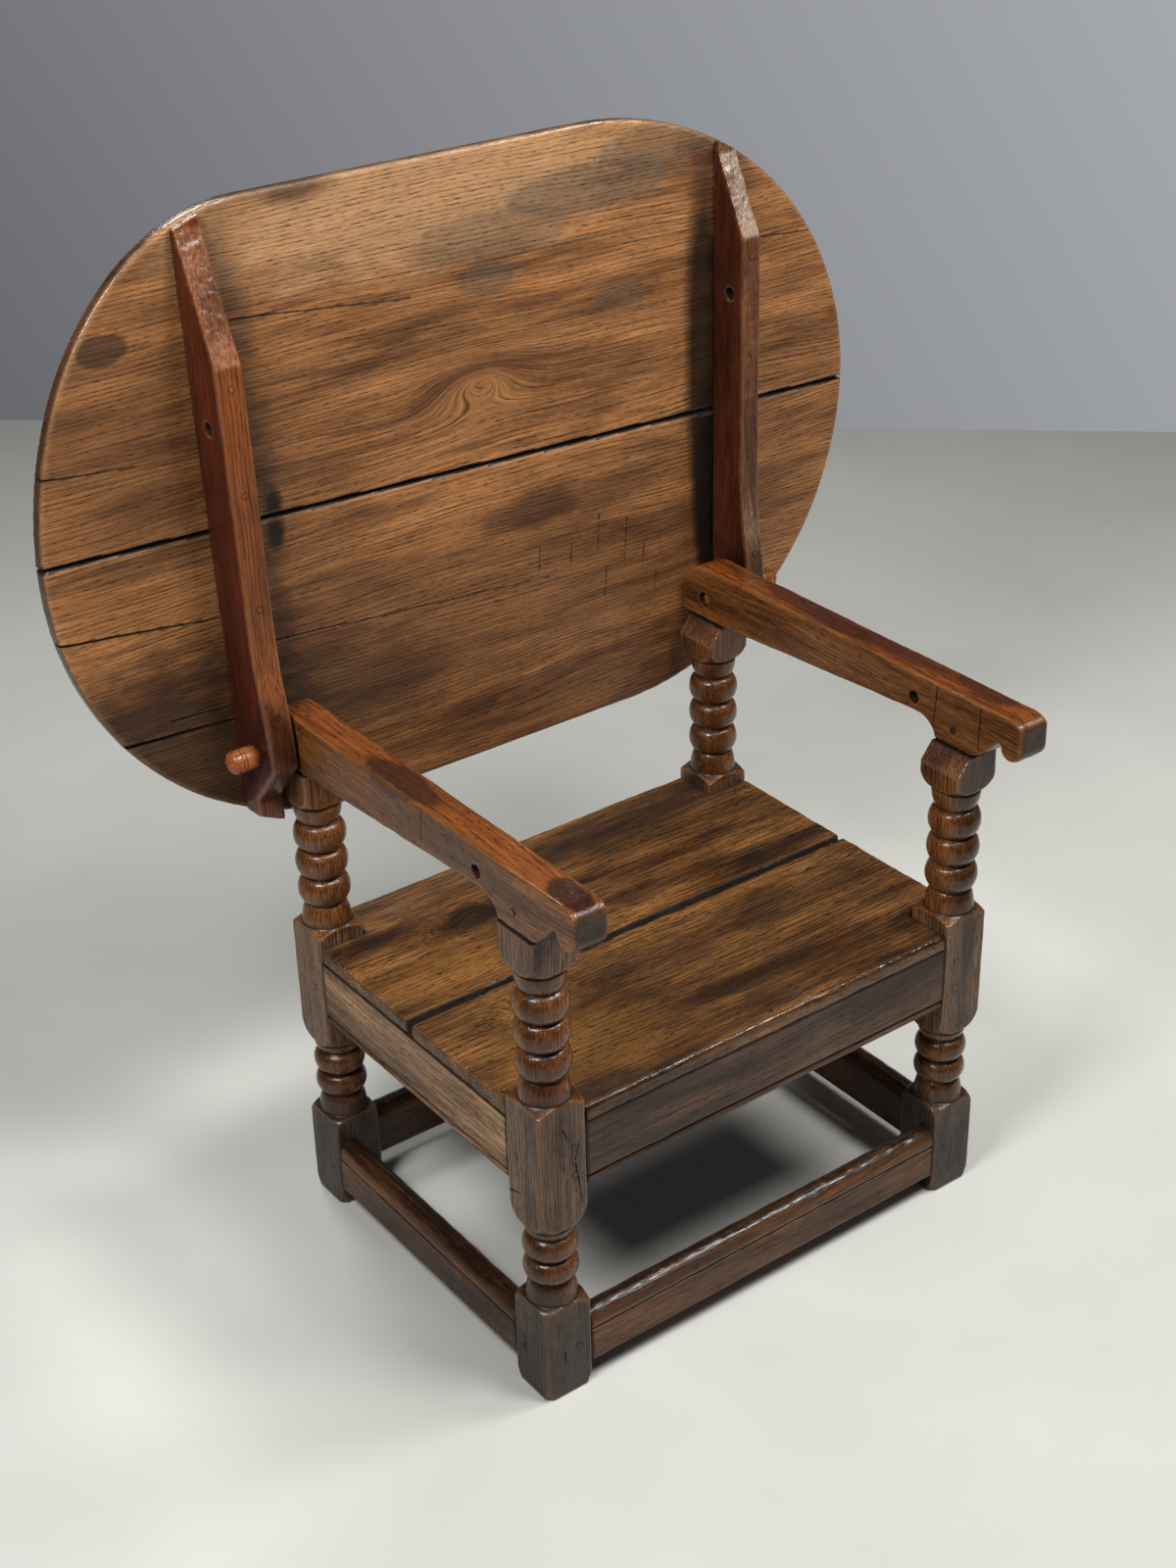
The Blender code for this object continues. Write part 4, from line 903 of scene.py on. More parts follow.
class CHAIRTABLE_OT_seat(bpy.types.Operator):
    """Cuts the two seat boards, notched round the posts, with a worn front edge and a ragged joint"""

    bl_idname = "chair_table.seat"
    bl_label = "Two-board seat"

    def execute(self, context):
        sizes = context.scene.chair_table_sizes
        colours = context.scene.chair_table_colours
        long_edge = HALF_DEPTH - SEAT_SETBACK
        half = HALF_WIDTH - SEAT_SETBACK
        joint = SEAT_GAP_BELOW / 2
        corners = [(-half, joint), (half, joint), (half, NOTCH_Y), (NOTCH_X, NOTCH_Y), (NOTCH_X, long_edge),
                   (-NOTCH_X, long_edge), (-NOTCH_X, NOTCH_Y), (-half, NOTCH_Y)]
        dark, golden, black = "#20130a", "#8a5d27", "#1a110a"
        # Stains as (x, y, half length, half width, colour, strength)
        stains = {
            "front": [(-0.22, -0.17, 0.16, 0.10, golden, 0.5), (0.06, -0.16, 0.20, 0.10, dark, 0.35),
                      (0.20, -0.07, 0.16, 0.05, dark, 0.45), (-0.05, -0.06, 0.16, 0.05, dark, 0.5),
                      (-0.24, -0.24, 0.07, 0.03, dark, 0.7), (-0.20, -0.06, 0.05, 0.03, black, 0.5)],
            "rear": [(-0.25, 0.06, 0.14, 0.06, golden, 0.45), (0.14, 0.21, 0.28, 0.08, dark, 0.55),
                     (-0.157, 0.154, 0.05, 0.028, black, 0.8), (-0.29, 0.188, 0.03, 0.018, black, 0.7),
                     (0.22, 0.037, 0.03, 0.016, black, 0.8)],
        }
        stains = {name: [((x, y, SEAT_TOP), (long, wide, 0.1), colour, strength, SOFT_EDGE)
                         for x, y, long, wide, colour, strength in spots] for name, spots in stains.items()}
        knots = {"front": [((-0.21, -0.06, SEAT_TOP), (0.09, 0.05, 0.5), 40)],
                 "rear": [((-0.157, 0.154, SEAT_TOP), (0.10, 0.05, 0.5), 45)]}
        splits = {"front": [((0.348, -0.034), (0.322, -0.037), 2.4 * MM)],
                  "rear": [((0.352, 0.0435), (0.15, 0.058), 1.6 * MM),
                           ((0.352, 0.040), (0.24, 0.047), 1.0 * MM),
                           ((-0.19, 0.145), (-0.13, 0.165), 1.8 * MM)]}
        for name, end in ENDS.items():
            outline = [(x, MIDDLE_Y + end * y) for x, y in corners]
            board = draw(f"worn_seat_board_{name}", outline, lambda u, v: along_z(u, v, SEAT_TOP))
            extrude(board, (0, 0, SEAT_UNDERSIDE - SEAT_TOP))
            # The joint is tight below and open above
            saw(board, (0, MIDDLE_Y + end * SEAT_GAP / 2, SEAT_TOP), (0, -end, SEAT_GAP_TAPER))
            edge = MIDDLE_Y + end * long_edge
            round_over(board, sizes.seat_round, 5, lambda a, b: min(a.z, b.z) > SEAT_TOP - MM
                       and abs(a.y - edge) < MM and abs(b.y - edge) < MM)
            even_out(board, SEAT_VOXEL, 2)
            dent(board, 0.16, 2.4 * MM, lambda p: 1.0 if p.z > SEAT_TOP - 5 * MM else 0.0, 0.8)
            dent(board, 0.012, 4.5 * MM, lambda p: clamp(1 - abs(p.y - MIDDLE_Y) / 0.009)
                 * clamp((p.z - SEAT_UNDERSIDE) / (SEAT_TOP - SEAT_UNDERSIDE)), 1.0)
            dent(board, 0.014, 2.6 * MM, lambda p: clamp(1 - (half - abs(p.x)) / 0.008), 1.0)
            dent(board, 0.014, 1.6 * MM, lambda p: clamp(1 - abs(p.y - edge) / 0.008), 1.0)
            dent(board, 0.03, 0.8 * MM)
            opened = [crack(board, start, end_point, opening, SEAT_TOP, SEAT_TOP - 6 * MM, along_z)
                      for start, end_point, opening in splits[name]]
            mark(board, 4, seat_dirt_and_shade, opened, seat_polish)
            # Years of sitting have darkened the middle and left it softly waxed, with a bright front edge
            finish = oak(f"waxed_oak_seat_{name}", ALONG_X, colours.seat,
                         [("polished", linear("#4d311a"), 0.1)], seed=end * 6.3, contrast=1.8, ring=4.4,
                         lines=0.7, flecks=1.0, specks=1.0, rough=(0.24, 0.44), worn="#c39a6c",
                         stains=stains[name], knots=knots[name])
            deliver(board, finish, "frame", "seat_oak", f"seat_board_{name}")
        return {"FINISHED"}


# Arms

ARM_NOSE_LENGTH = 0.026
ARM_NOSE_DROP = 0.013
NOSE_BASE = POST_TOP + 0.0185
NOSE_ROUND = 0.020
NOSE_HOLLOW = (0.326, -0.30)
NOSE_HOLLOW_HALF = (0.02, 0.05)
ARM_RELIEF = (0.030, 0.023)
ARM_VOXEL = 1.6 * MM
SCROLL_ROUND = 0.0165
NOTCH_TIP = (ARM_FRONT + 0.0396, POST_TOP + 0.0355)
PAD_LIP = (ARM_FRONT + 0.0635, POST_TOP + 0.0115)


def arm_outline():
    """Side view of an arm as (y, z): level top, notched scroll, relieved underside, rounded tail."""
    pad = POST_TOP + 0.3 * MM
    post_front = MIDDLE_Y - HALF_DEPTH
    points = arc((ARM_FRONT + ARM_NOSE_LENGTH, ARM_TOP - ARM_NOSE_DROP), (ARM_NOSE_LENGTH, ARM_NOSE_DROP),
                 90, 180, 16)
    scroll = ARM_FRONT + NOSE_ROUND
    points += arc((scroll, NOSE_BASE + NOSE_ROUND), (NOSE_ROUND, NOSE_ROUND), 180, 270, 10)
    points += arc((scroll, NOSE_BASE + SCROLL_ROUND), (SCROLL_ROUND, SCROLL_ROUND), 280, 360, 8)
    points += [NOTCH_TIP]
    points += [(PAD_LIP[0] - 5 * MM, PAD_LIP[1] + 3 * MM), PAD_LIP, (PAD_LIP[0] + 7 * MM, pad + 4 * MM)]
    points += [(post_front + 2 * MM, pad)]
    points += arc((post_front + POST_STOCK + ARM_RELIEF[0], pad), ARM_RELIEF, 180, 90, 14)
    tail = (BOARD_FACE - 0.3 * MM - PIVOT_RISE * math.sin(LEAN)) / math.cos(LEAN)
    points += [(MIDDLE_Y + HALF_DEPTH - POST_STOCK, pad), (PIVOT.y + tail, pad)]
    flat_end = math.degrees(math.acos(tail / PIVOT_DROP))
    return points + arc((PIVOT.y, PIVOT.z), (PIVOT_DROP, PIVOT_DROP), flat_end, 90, 24)


def arm_dirt_and_shade(x, y, z):
    """Dirt and painted shade inside the two holes."""
    pivot = np.hypot(y - PIVOT.y, z - PIVOT.z) < PIN_BORE + 0.8 * MM
    lock = np.hypot(y - PIVOT.y + LOCK_REACH, z - ARM_TOP + LOCK_DROP) < LOCK_RADIUS + 0.8 * MM
    return (pivot | lock).astype(float)


class CHAIRTABLE_OT_arms(bpy.types.Operator):
    """Shapes the two arms, with holes for the pivot pins and for locking pins"""

    bl_idname = "chair_table.arms"
    bl_label = "Shaped arms"

    def execute(self, context):
        sizes = context.scene.chair_table_sizes
        colours = context.scene.chair_table_colours
        # Hands have kept the tops bright and glossy. Worn patches show dark broken pores.
        worn_spots = {
            "left": [((-0.331, 0.01, ARM_TOP), (0.024, 0.085, 0.03), "#2c120b", 0.85, BROKEN_EDGE),
                     ((-0.327, -0.305, ARM_TOP), (0.024, 0.045, 0.02), "#240f09", 0.9, BROKEN_EDGE),
                     ((-0.35, -0.10, 0.70), (0.01, 0.20, 0.05), "#5b4330", 0.6, SOFT_EDGE)],
            "right": [((0.335, 0.06, ARM_TOP), (0.024, 0.10, 0.03), "#3a1a14", 0.7, BROKEN_EDGE),
                      ((0.34, -0.12, ARM_TOP), (0.024, 0.09, 0.03), "#43211a", 0.55, BROKEN_EDGE),
                      ((0.345, -0.25, ARM_TOP), (0.03, 0.06, 0.02), "#2e1710", 0.7, BROKEN_EDGE)],
        }
        saw_lines = {"left": [((-0.0565, 0.729), (-0.0528, 0.691))],
                     "right": [((-0.2008, 0.729), (-0.1978, 0.678)), ((-0.2745, 0.728), (-0.2726, 0.673))]}
        # The front face of each nose is painted dark: a painted dark reflection on its glossy end
        nose_dark_reflection = linear("#3f2a1a")
        for name, side in SIDES.items():
            inner = side * (HALF_WIDTH - ARM_WIDTH)
            arm = draw(f"worn_arm_{name}", arm_outline(), lambda u, v: along_x(u, v, inner))
            extrude(arm, (side * ARM_WIDTH, 0, 0))
            round_over(arm, sizes.arm_round, 4, lambda a, b: abs(a.x - b.x) < MM)
            middle = side * (HALF_WIDTH - ARM_WIDTH / 2)
            bore(arm, (middle, PIVOT.y, PIVOT.z), PIN_BORE, 3 * ARM_WIDTH, ACROSS)
            lock = (middle, PIVOT.y - LOCK_REACH, ARM_TOP - LOCK_DROP)
            bore(arm, lock, LOCK_RADIUS, 3 * ARM_WIDTH, ACROSS)
            even_out(arm, ARM_VOXEL, 3)
            dent(arm, 0.05, 1.8 * MM, level=1.0)
            dent(arm, 0.012, 0.7 * MM, level=1.0)

            def worn_nose(p):
                if p.z <= ARM_TOP - 4 * MM:
                    return 0.0
                across = abs(p.x - side * NOSE_HOLLOW[0]) / NOSE_HOLLOW_HALF[0]
                along = abs(p.y - NOSE_HOLLOW[1]) / NOSE_HOLLOW_HALF[1]
                return clamp(1 - across) * clamp(1 - along)

            dent(arm, 0.010, 2.5 * MM, worn_nose, 1.0)
            # The cuts are in the side that faces left
            cut = min(inner, side * HALF_WIDTH)
            opened = [crack(arm, start, end, 1.1 * MM, cut, cut + 3 * MM, along_x, 0.4 * MM)
                      for start, end in saw_lines[name]]
            mark(arm, 8, arm_dirt_and_shade, opened)
            finish = oak(f"handled_oak_arm_{name}", ALONG_Y, colours.arm_sides,
                         [((0, 0, 1), colours.arm_tops, 0.22), ((0, -1, 0), nose_dark_reflection, 0.34)],
                         seed=side * 7.7, contrast=1.3, ring=5.0, lines=0.5, flecks=0.8, specks=0.9,
                         rough=(0.26, 0.42), worn="#b97f45", stains=worn_spots[name])
            deliver(arm, finish, "frame", "arm_oak", f"arm_{name}")
        return {"FINISHED"}


# Tilting top, modelled about its pivot: z runs up the boards and y to the rear

TOP_CORNERS = {"lower": 0.387, "upper_right": 0.425, "upper_left": 0.300}
TOP_THICKNESS = 0.022
TOP_VOXEL = 3.2 * MM
TOP_JOINT = 0.0024
TOP_JOINT_REAR = 0.0005
TOP_JOINT_TAPER = (TOP_JOINT - TOP_JOINT_REAR) / 2 / TOP_THICKNESS
JOINT_LEFT = 0.280
JOINT_RIGHT = 0.235
JOINT_SLOPE = (JOINT_RIGHT - JOINT_LEFT) / (2 * TOP_HALF_LENGTH)


def top_outline(inset):
    """The top's outline as (x, z): four rounded corners of unlike length."""
    corners = ((1, -90, "lower"), (1, 0, "upper_right"), (-1, 90, "upper_left"), (-1, 180, "lower"))
    points = []
    for way, start, corner in corners:
        length = TOP_CORNERS[corner]
        quarter = arc((way * (TOP_HALF_LENGTH - length), TOP_CENTRE),
                      (length - inset, TOP_HALF_HEIGHT - inset), start, start + 90, 30)
        points += quarter if start % 180 else quarter[1:]
    return points


def joint_height(x):
    """Height of the slanting joint between the two tapered boards."""
    return (JOINT_LEFT + JOINT_RIGHT) / 2 + JOINT_SLOPE * x


def board_dirt_and_shade(x, y, z):
    """Dirt and painted shade down in the joint."""
    within = (y > BOARD_FACE + 1.6 * MM) & (y < BOARD_FACE + TOP_THICKNESS - 3 * MM)
    return np.where(within & (np.abs(z - joint_height(x)) < 4 * MM), 1.0, 0)


def lean_back(piece):
    """Sets a piece of the top on its pivot, leaning back."""
    settle(piece, PIVOT, rotation=(-LEAN, 0, 0))


class CHAIRTABLE_OT_top_boards(bpy.types.Operator):
    """Saws the round-ended top into two tapered boards and opens their old splits"""

    bl_idname = "chair_table.top_boards"
    bl_label = "Table top boards"

    def execute(self, context):
        sizes = context.scene.chair_table_sizes
        colours = context.scene.chair_table_colours
        # Splits and scratches on the inner face, as (start, end, share of the full opening)
        splits = {
            "upper": [((-0.604, 0.386), (-0.468, 0.371), 0.6), ((0.560, 0.449), (0.452, 0.458), 0.5),
                      ((-0.330, 0.512), (-0.089, 0.487), 0.4)],
            "lower": [((-0.610, 0.189), (-0.386, 0.163), 1.0), ((-0.545, 0.040), (-0.384, 0.031), 1.5),
                      ((-0.470, 0.054), (-0.392, 0.049), 0.5), ((-0.340, 0.116), (0.084, 0.082), 0.4)],
        }
        scratches = ((0.075, 0.11, 0.03), (0.125, 0.10, 0.03), (0.172, 0.12, 0.05), (0.216, 0.10, 0.06),
                     (0.180, 0.05, 0.04), (0.243, 0.07, 0.03), (0.262, 0.03, 0.03))
        splits["lower"] += [((x, h + long / 2), (x - long * 0.12, h - long / 2), 0.22)
                            for x, h, long in scratches]
        painted_light_band, grey_dark, dark, black = "#b99068", "#544739", "#2a190f", "#0f0905"
        # Stains as (x, height, half length, half height, colour, strength, edge), on the inner face alone
        stains = {
            # The pale band over the top of the upper board is a painted pool of light
            "upper": [(-0.06, 0.60, 0.48, 0.11, painted_light_band, 0.6, SOFT_EDGE),
                      (0.30, 0.605, 0.12, 0.030, grey_dark, 0.5, BROKEN_EDGE),
                      (0.18, 0.570, 0.14, 0.034, grey_dark, 0.5, BROKEN_EDGE),
                      (0.03, 0.540, 0.14, 0.034, grey_dark, 0.45, BROKEN_EDGE),
                      (0.02, 0.490, 0.05, 0.026, grey_dark, 0.6, BROKEN_EDGE),
                      (0.22, 0.430, 0.05, 0.026, grey_dark, 0.45, BROKEN_EDGE),
                      # Darker towards the left: painted shade
                      (-0.50, 0.42, 0.18, 0.22, "#5d3a1f", 0.45, SOFT_EDGE),
                      (-0.23, 0.640, 0.07, 0.02, dark, 0.7, SOFT_EDGE),
                      (-0.49, 0.51, 0.035, 0.022, dark, 0.7, BROKEN_EDGE),
                      (-0.303, 0.28, 0.017, 0.04, black, 0.95, SOFT_EDGE)],
            "lower": [(0.07, 0.178, 0.10, 0.034, "#2c1813", 0.7, SOFT_EDGE),
                      # The next four, dark over the lower board and darkest to the left and bottom, are
                      # painted shade
                      (-0.05, 0.06, 0.60, 0.16, "#4a2e19", 0.4, SOFT_EDGE),
                      (-0.22, 0.02, 0.20, 0.09, dark, 0.55, SOFT_EDGE),
                      (-0.48, 0.0, 0.26, 0.18, dark, 0.8, SOFT_EDGE),
                      (0.10, -0.10, 0.40, 0.07, dark, 0.45, SOFT_EDGE),
                      (-0.303, 0.25, 0.017, 0.03, black, 0.95, SOFT_EDGE)],
        }
        # A dark strip beside each batten: rubbed by the arms, and a painted shadow of the batten
        rub_and_shadow_strips = [(0.358, 0.10, 0.034, 0.22, black, 0.9, STRAIGHT_EDGE),
                  (0.360, 0.26, 0.045, 0.38, black, 0.9, STRAIGHT_EDGE),
                  (-0.335, 0.20, 0.055, 0.60, black, 0.6, SOFT_EDGE)]
        stains = {name: [((x, BOARD_FACE, h), (long, 0.02, high), *look)
                         for x, h, long, high, *look in spots + rub_and_shadow_strips] for name, spots in stains.items()}
        knots = {"upper": [((0.0, BOARD_FACE, 0.362), (0.13, 0.03, 0.057), -62)], "lower": []}
        zones = [((0, 1, 0), linear("#7d5030"), 0.27)]
        zones += [(direction, linear("#4f3220"), 0.15) for direction in ((0, 0, 1), (-1, 0, 0), (1, 0, 0))]
        for name, way in (("upper", 1), ("lower", -1)):
            board = draw(f"worn_top_board_{name}", top_outline(0), lambda u, v: along_y(u, v, BOARD_FACE))
            extrude(board, (0, TOP_THICKNESS, 0))
            round_over(board, sizes.top_round, 4, lambda a, b: abs(a.y - b.y) < MM)
            # The joint is open on the inner face and nearly closed on the table's
            saw(board, (0, BOARD_FACE, joint_height(0) + way * TOP_JOINT / 2),
                (way * JOINT_SLOPE, -TOP_JOINT_TAPER, -way))
            even_out(board, TOP_VOXEL, 1)
            dent(board, 0.20, 1.4 * MM, level=1.0)
            dent(board, 0.03, 0.6 * MM, level=1.0)
            # Splits are deep and scratches shallow
            opened = [crack(board, start, end, sizes.split_opening * share, BOARD_FACE,
                            BOARD_FACE + (12 if share > 0.35 else 3) * MM, along_y)
                      for start, end, share in splits[name]]
            mark(board, 3, board_dirt_and_shade, opened)
            lean_back(board)
            # The inner face is bare scrubbed oak. The table's face and the rim are darker and polished.
            finish = oak(f"scrubbed_oak_board_{name}", ALONG_X, colours.boards, zones, origin=PIVOT,
                         lean=-LEAN, seed=way * 0.9, coarse=0.9, contrast=1.0, ring=5.5, lines=0.65,
                         flecks=0.65, specks=0.5, rough=(0.36, 0.55), rub=0.12, worn="#c9a27a",
                         stains=stains[name], knots=knots[name])
            deliver(board, finish, "top", "board_oak", f"top_board_{name}")
        return {"FINISHED"}


# The tip colours paint the tapered tips paler: a painted highlight on their glossy facets, with some wear
BATTENS = {
    "left": {"thickness": 0.036, "depth": 0.068, "splay": math.radians(0.3), "corner": "upper_left",
             "tip": "#7d4f35"},
    "right": {"thickness": 0.030, "depth": 0.061, "splay": math.radians(2.0), "corner": "upper_right",
              "tip": "#85705f"},
}
# Picks out the tapered tip: the battens' upright fronts face too far from it
TIP_FACING = (0, -0.48, 0.97)
BATTEN_INSET = 0.002
BATTEN_GAP = 0.003
TAPER_START = 0.480
TIP_DEPTH = 0.012
TOE_DEPTH = 0.034
TOE_LENGTH = 0.055
EYE_REACH = 0.150
EYE_SWELL = 0.017
EYE_STEPS = 24
BATTEN_VOXEL = 1.8 * MM
PIN_KNOB_RADIUS = 0.0145
PIN_KNOB_LENGTH = 0.034
PIN_GROOVES = (0.013, 0.018)
PIN_CHAMFER = 1.2 * MM


def batten_reach(name, height):
    """How far a batten stands off the boards below its taper: deepest round the pin."""
    share = clamp(height / EYE_REACH)
    return BATTENS[name]["depth"] + EYE_SWELL * (0.5 + 0.5 * math.cos(math.pi * share))


def batten_face(name, height):
    """x of a batten's inner face at a height along the boards."""
    return SIDES[name] * (HALF_WIDTH + BATTEN_GAP + math.tan(BATTENS[name]["splay"]) * (height + TOP_TAIL))


def top_edge(name, x):
    """Height of the top's upper edge at x on one side."""
    length = TOP_CORNERS[BATTENS[name]["corner"]]
    past = max(abs(x) - (TOP_HALF_LENGTH - length), 0.0)
    return TOP_CENTRE + TOP_HALF_HEIGHT * math.sqrt(1 - (past / length) ** 2)


def batten_outline(name):
    """Side view of a batten as (y, z), overlong at both ends."""
    back = BOARD_FACE - 0.3 * MM
    beyond = TOP_CENTRE + TOP_HALF_HEIGHT
    outer = abs(batten_face(name, beyond)) + BATTENS[name]["thickness"]
    taper_end = top_edge(name, outer) - BATTEN_INSET
    toe = back - TOE_DEPTH
    heel = -PIN_KNOB_RADIUS
    points = [(back, beyond), (back - TIP_DEPTH, beyond), (back - TIP_DEPTH, taper_end)]
    points += [(back - batten_reach(name, TAPER_START), TAPER_START)]
    for i in range(EYE_STEPS + 1):
        height = EYE_REACH * (1 - i / EYE_STEPS)
        points.append((back - batten_reach(name, height), height))
    points += [(back - batten_reach(name, 0), heel), (toe, heel - TOE_LENGTH), (toe, -TOP_TAIL)]
    return points + [(back, -TOP_TAIL)]


def batten_dirt_and_shade(x, y, z):
    """Dirt and painted shade in the holes, and where the batten lies on the boards."""
    pivot = np.hypot(y, z) < PIN_BORE + 0.8 * MM
    lock = np.hypot(y - BOARD_FACE + LOCK_DROP, z - LOCK_REACH) < LOCK_RADIUS + 0.8 * MM
    return np.maximum((pivot | lock).astype(float), near_zero(y - BOARD_FACE, 4 * MM))


class CHAIRTABLE_OT_battens(bpy.types.Operator):
    """Shapes the two battens, each with a pivot eye, a tapered tip and ends trimmed to the top's rim"""

    bl_idname = "chair_table.battens"
    bl_label = "Battens"

    def execute(self, context):
        sizes = context.scene.chair_table_sizes
        colours = context.scene.chair_table_colours
        tints = {"left": (colours.left_batten, colours.left_batten_front),
                 "right": (colours.right_batten, colours.right_batten_front)}
        for name, side in SIDES.items():
            shape = BATTENS[name]
            inner = side * (HALF_WIDTH + BATTEN_GAP)
            batten = draw(f"worn_batten_{name}", batten_outline(name), lambda u, v: along_x(u, v, inner))
            extrude(batten, (side * shape["thickness"], 0, 0))
            round_over(batten, sizes.batten_round, 3, lambda a, b: abs(a.x - b.x) < MM
                       and max(a.y, b.y) < BOARD_FACE - 4 * MM)
            for vert in batten.data.vertices:
                vert.co.x += batten_face(name, vert.co.z) - inner
            in_front = BOARD_FACE - HALF_DEPTH
            trim = draw("trim", top_outline(BATTEN_INSET), lambda u, v: along_y(u, v, in_front))
            combine(batten, extrude(trim, (0, 2 * HALF_DEPTH, 0)), "INTERSECT")
            middle = side * (abs(inner) + shape["thickness"] / 2)
            right_through = 0.2
            bore(batten, (middle, 0, 0), PIN_BORE, right_through, ACROSS)
            lock = (middle, BOARD_FACE - LOCK_DROP, LOCK_REACH)
            bore(batten, lock, LOCK_RADIUS, right_through, ACROSS)
            even_out(batten, BATTEN_VOXEL, 3)
            dent(batten, 0.05, 1.6 * MM)
            dent(batten, 0.015, 0.6 * MM)
            # Adze marks on the tapered tip
            dent(batten, 0.012, 1.6 * MM, lambda p: clamp((p.z - TAPER_START) / 0.03), 1.0)
            mark(batten, 6, batten_dirt_and_shade)
            lean_back(batten)
            # A red-brown stain under old wax: streaky and dark at the sides, rubbed bright in front, and
            # painted palest on the tapered tip, a painted highlight on its facet with some wear
            side_tint, front_tint = tints[name]
            zones = [((0, -1, 0), front_tint, 0.24), (TIP_FACING, linear(shape["tip"]), 0.2)]
            finish = oak(f"stained_oak_batten_{name}", ALONG_Z, side_tint, zones,
                         origin=PIVOT, lean=-LEAN, seed=side * 2.3, ring=5.0, lines=0.5, flecks=0.5,
                         specks=0.3, rough=(0.26, 0.42), worn="#b98058", rub=0.25, grime_and_shade="#0e0504",
                         stains=[((side * 0.37, -0.02, 0.02), (0.05, 0.06, 0.07), "#1d0b06", 0.7, SOFT_EDGE),
                                 ((side * 0.37, 0.0, -0.11), (0.05, 0.05, 0.04), "#82746a", 0.5, SOFT_EDGE)])
            deliver(batten, finish, "top", "batten_oak", f"batten_{name}")
        return {"FINISHED"}


class CHAIRTABLE_OT_pins(bpy.types.Operator):
    """Turns the two pivot pins: a plain shank, a short neck, and a knob with two fine grooves"""

    bl_idname = "chair_table.pins"
    bl_label = "Pivot pins"

    def execute(self, context):
        # Handled whenever the top is tipped, so the brightest gloss of all
        finish = oak("polished_oak_pivot_pins", ALONG_X, context.scene.chair_table_colours.pins, lines=0.3,
                     flecks=0.4, rough=(0.16, 0.26), worn="#cf9358", rub=0.2)
        for name, side in SIDES.items():
            node = f"pivot_pin_{name}"
            low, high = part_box(node)
            reach = max(abs(low.x), abs(high.x))
            length = high.x - low.x
            knob = length - PIN_KNOB_LENGTH
            profile = [(0, 0), (PIN_RADIUS - PIN_CHAMFER, 0), (PIN_RADIUS, PIN_CHAMFER),
                       (PIN_RADIUS, knob - 7 * MM)]
            profile += arc((PIN_RADIUS, knob + 2 * MM), (PIN_KNOB_RADIUS - PIN_RADIUS, 8 * MM), -90, 0, 8)
            for middle in PIN_GROOVES:
                profile += [(PIN_KNOB_RADIUS, knob + middle - 1.0 * MM),
                            (PIN_KNOB_RADIUS - 1.1 * MM, knob + middle - 0.3 * MM),
                            (PIN_KNOB_RADIUS - 1.1 * MM, knob + middle + 0.3 * MM),
                            (PIN_KNOB_RADIUS, knob + middle + 1.0 * MM)]
            profile += arc((0, length - 10 * MM), (PIN_KNOB_RADIUS, 10 * MM), 0, 90, 14)[:-1] + [(0, length)]
            pin = turn(f"turned_{node}", profile, 64)
            settle(pin, (side * (reach - length), PIVOT.y, PIVOT.z), (0, side * math.radians(90), 0))
            mark(pin, 1)
            deliver(pin, finish, f"{name}_pin", "pin_oak", node)
        return {"FINISHED"}


# Each peg has the finish of the piece that it is driven into, front or rear, left or right
PEG_FINISHES = {"rail": "waxed_oak_turned_posts", "stretcher": "waxed_oak_turned_posts",
                "seat": "waxed_oak_seat_{}", "arm": "handled_oak_arm_{}", "batten": "stained_oak_batten_{}"}


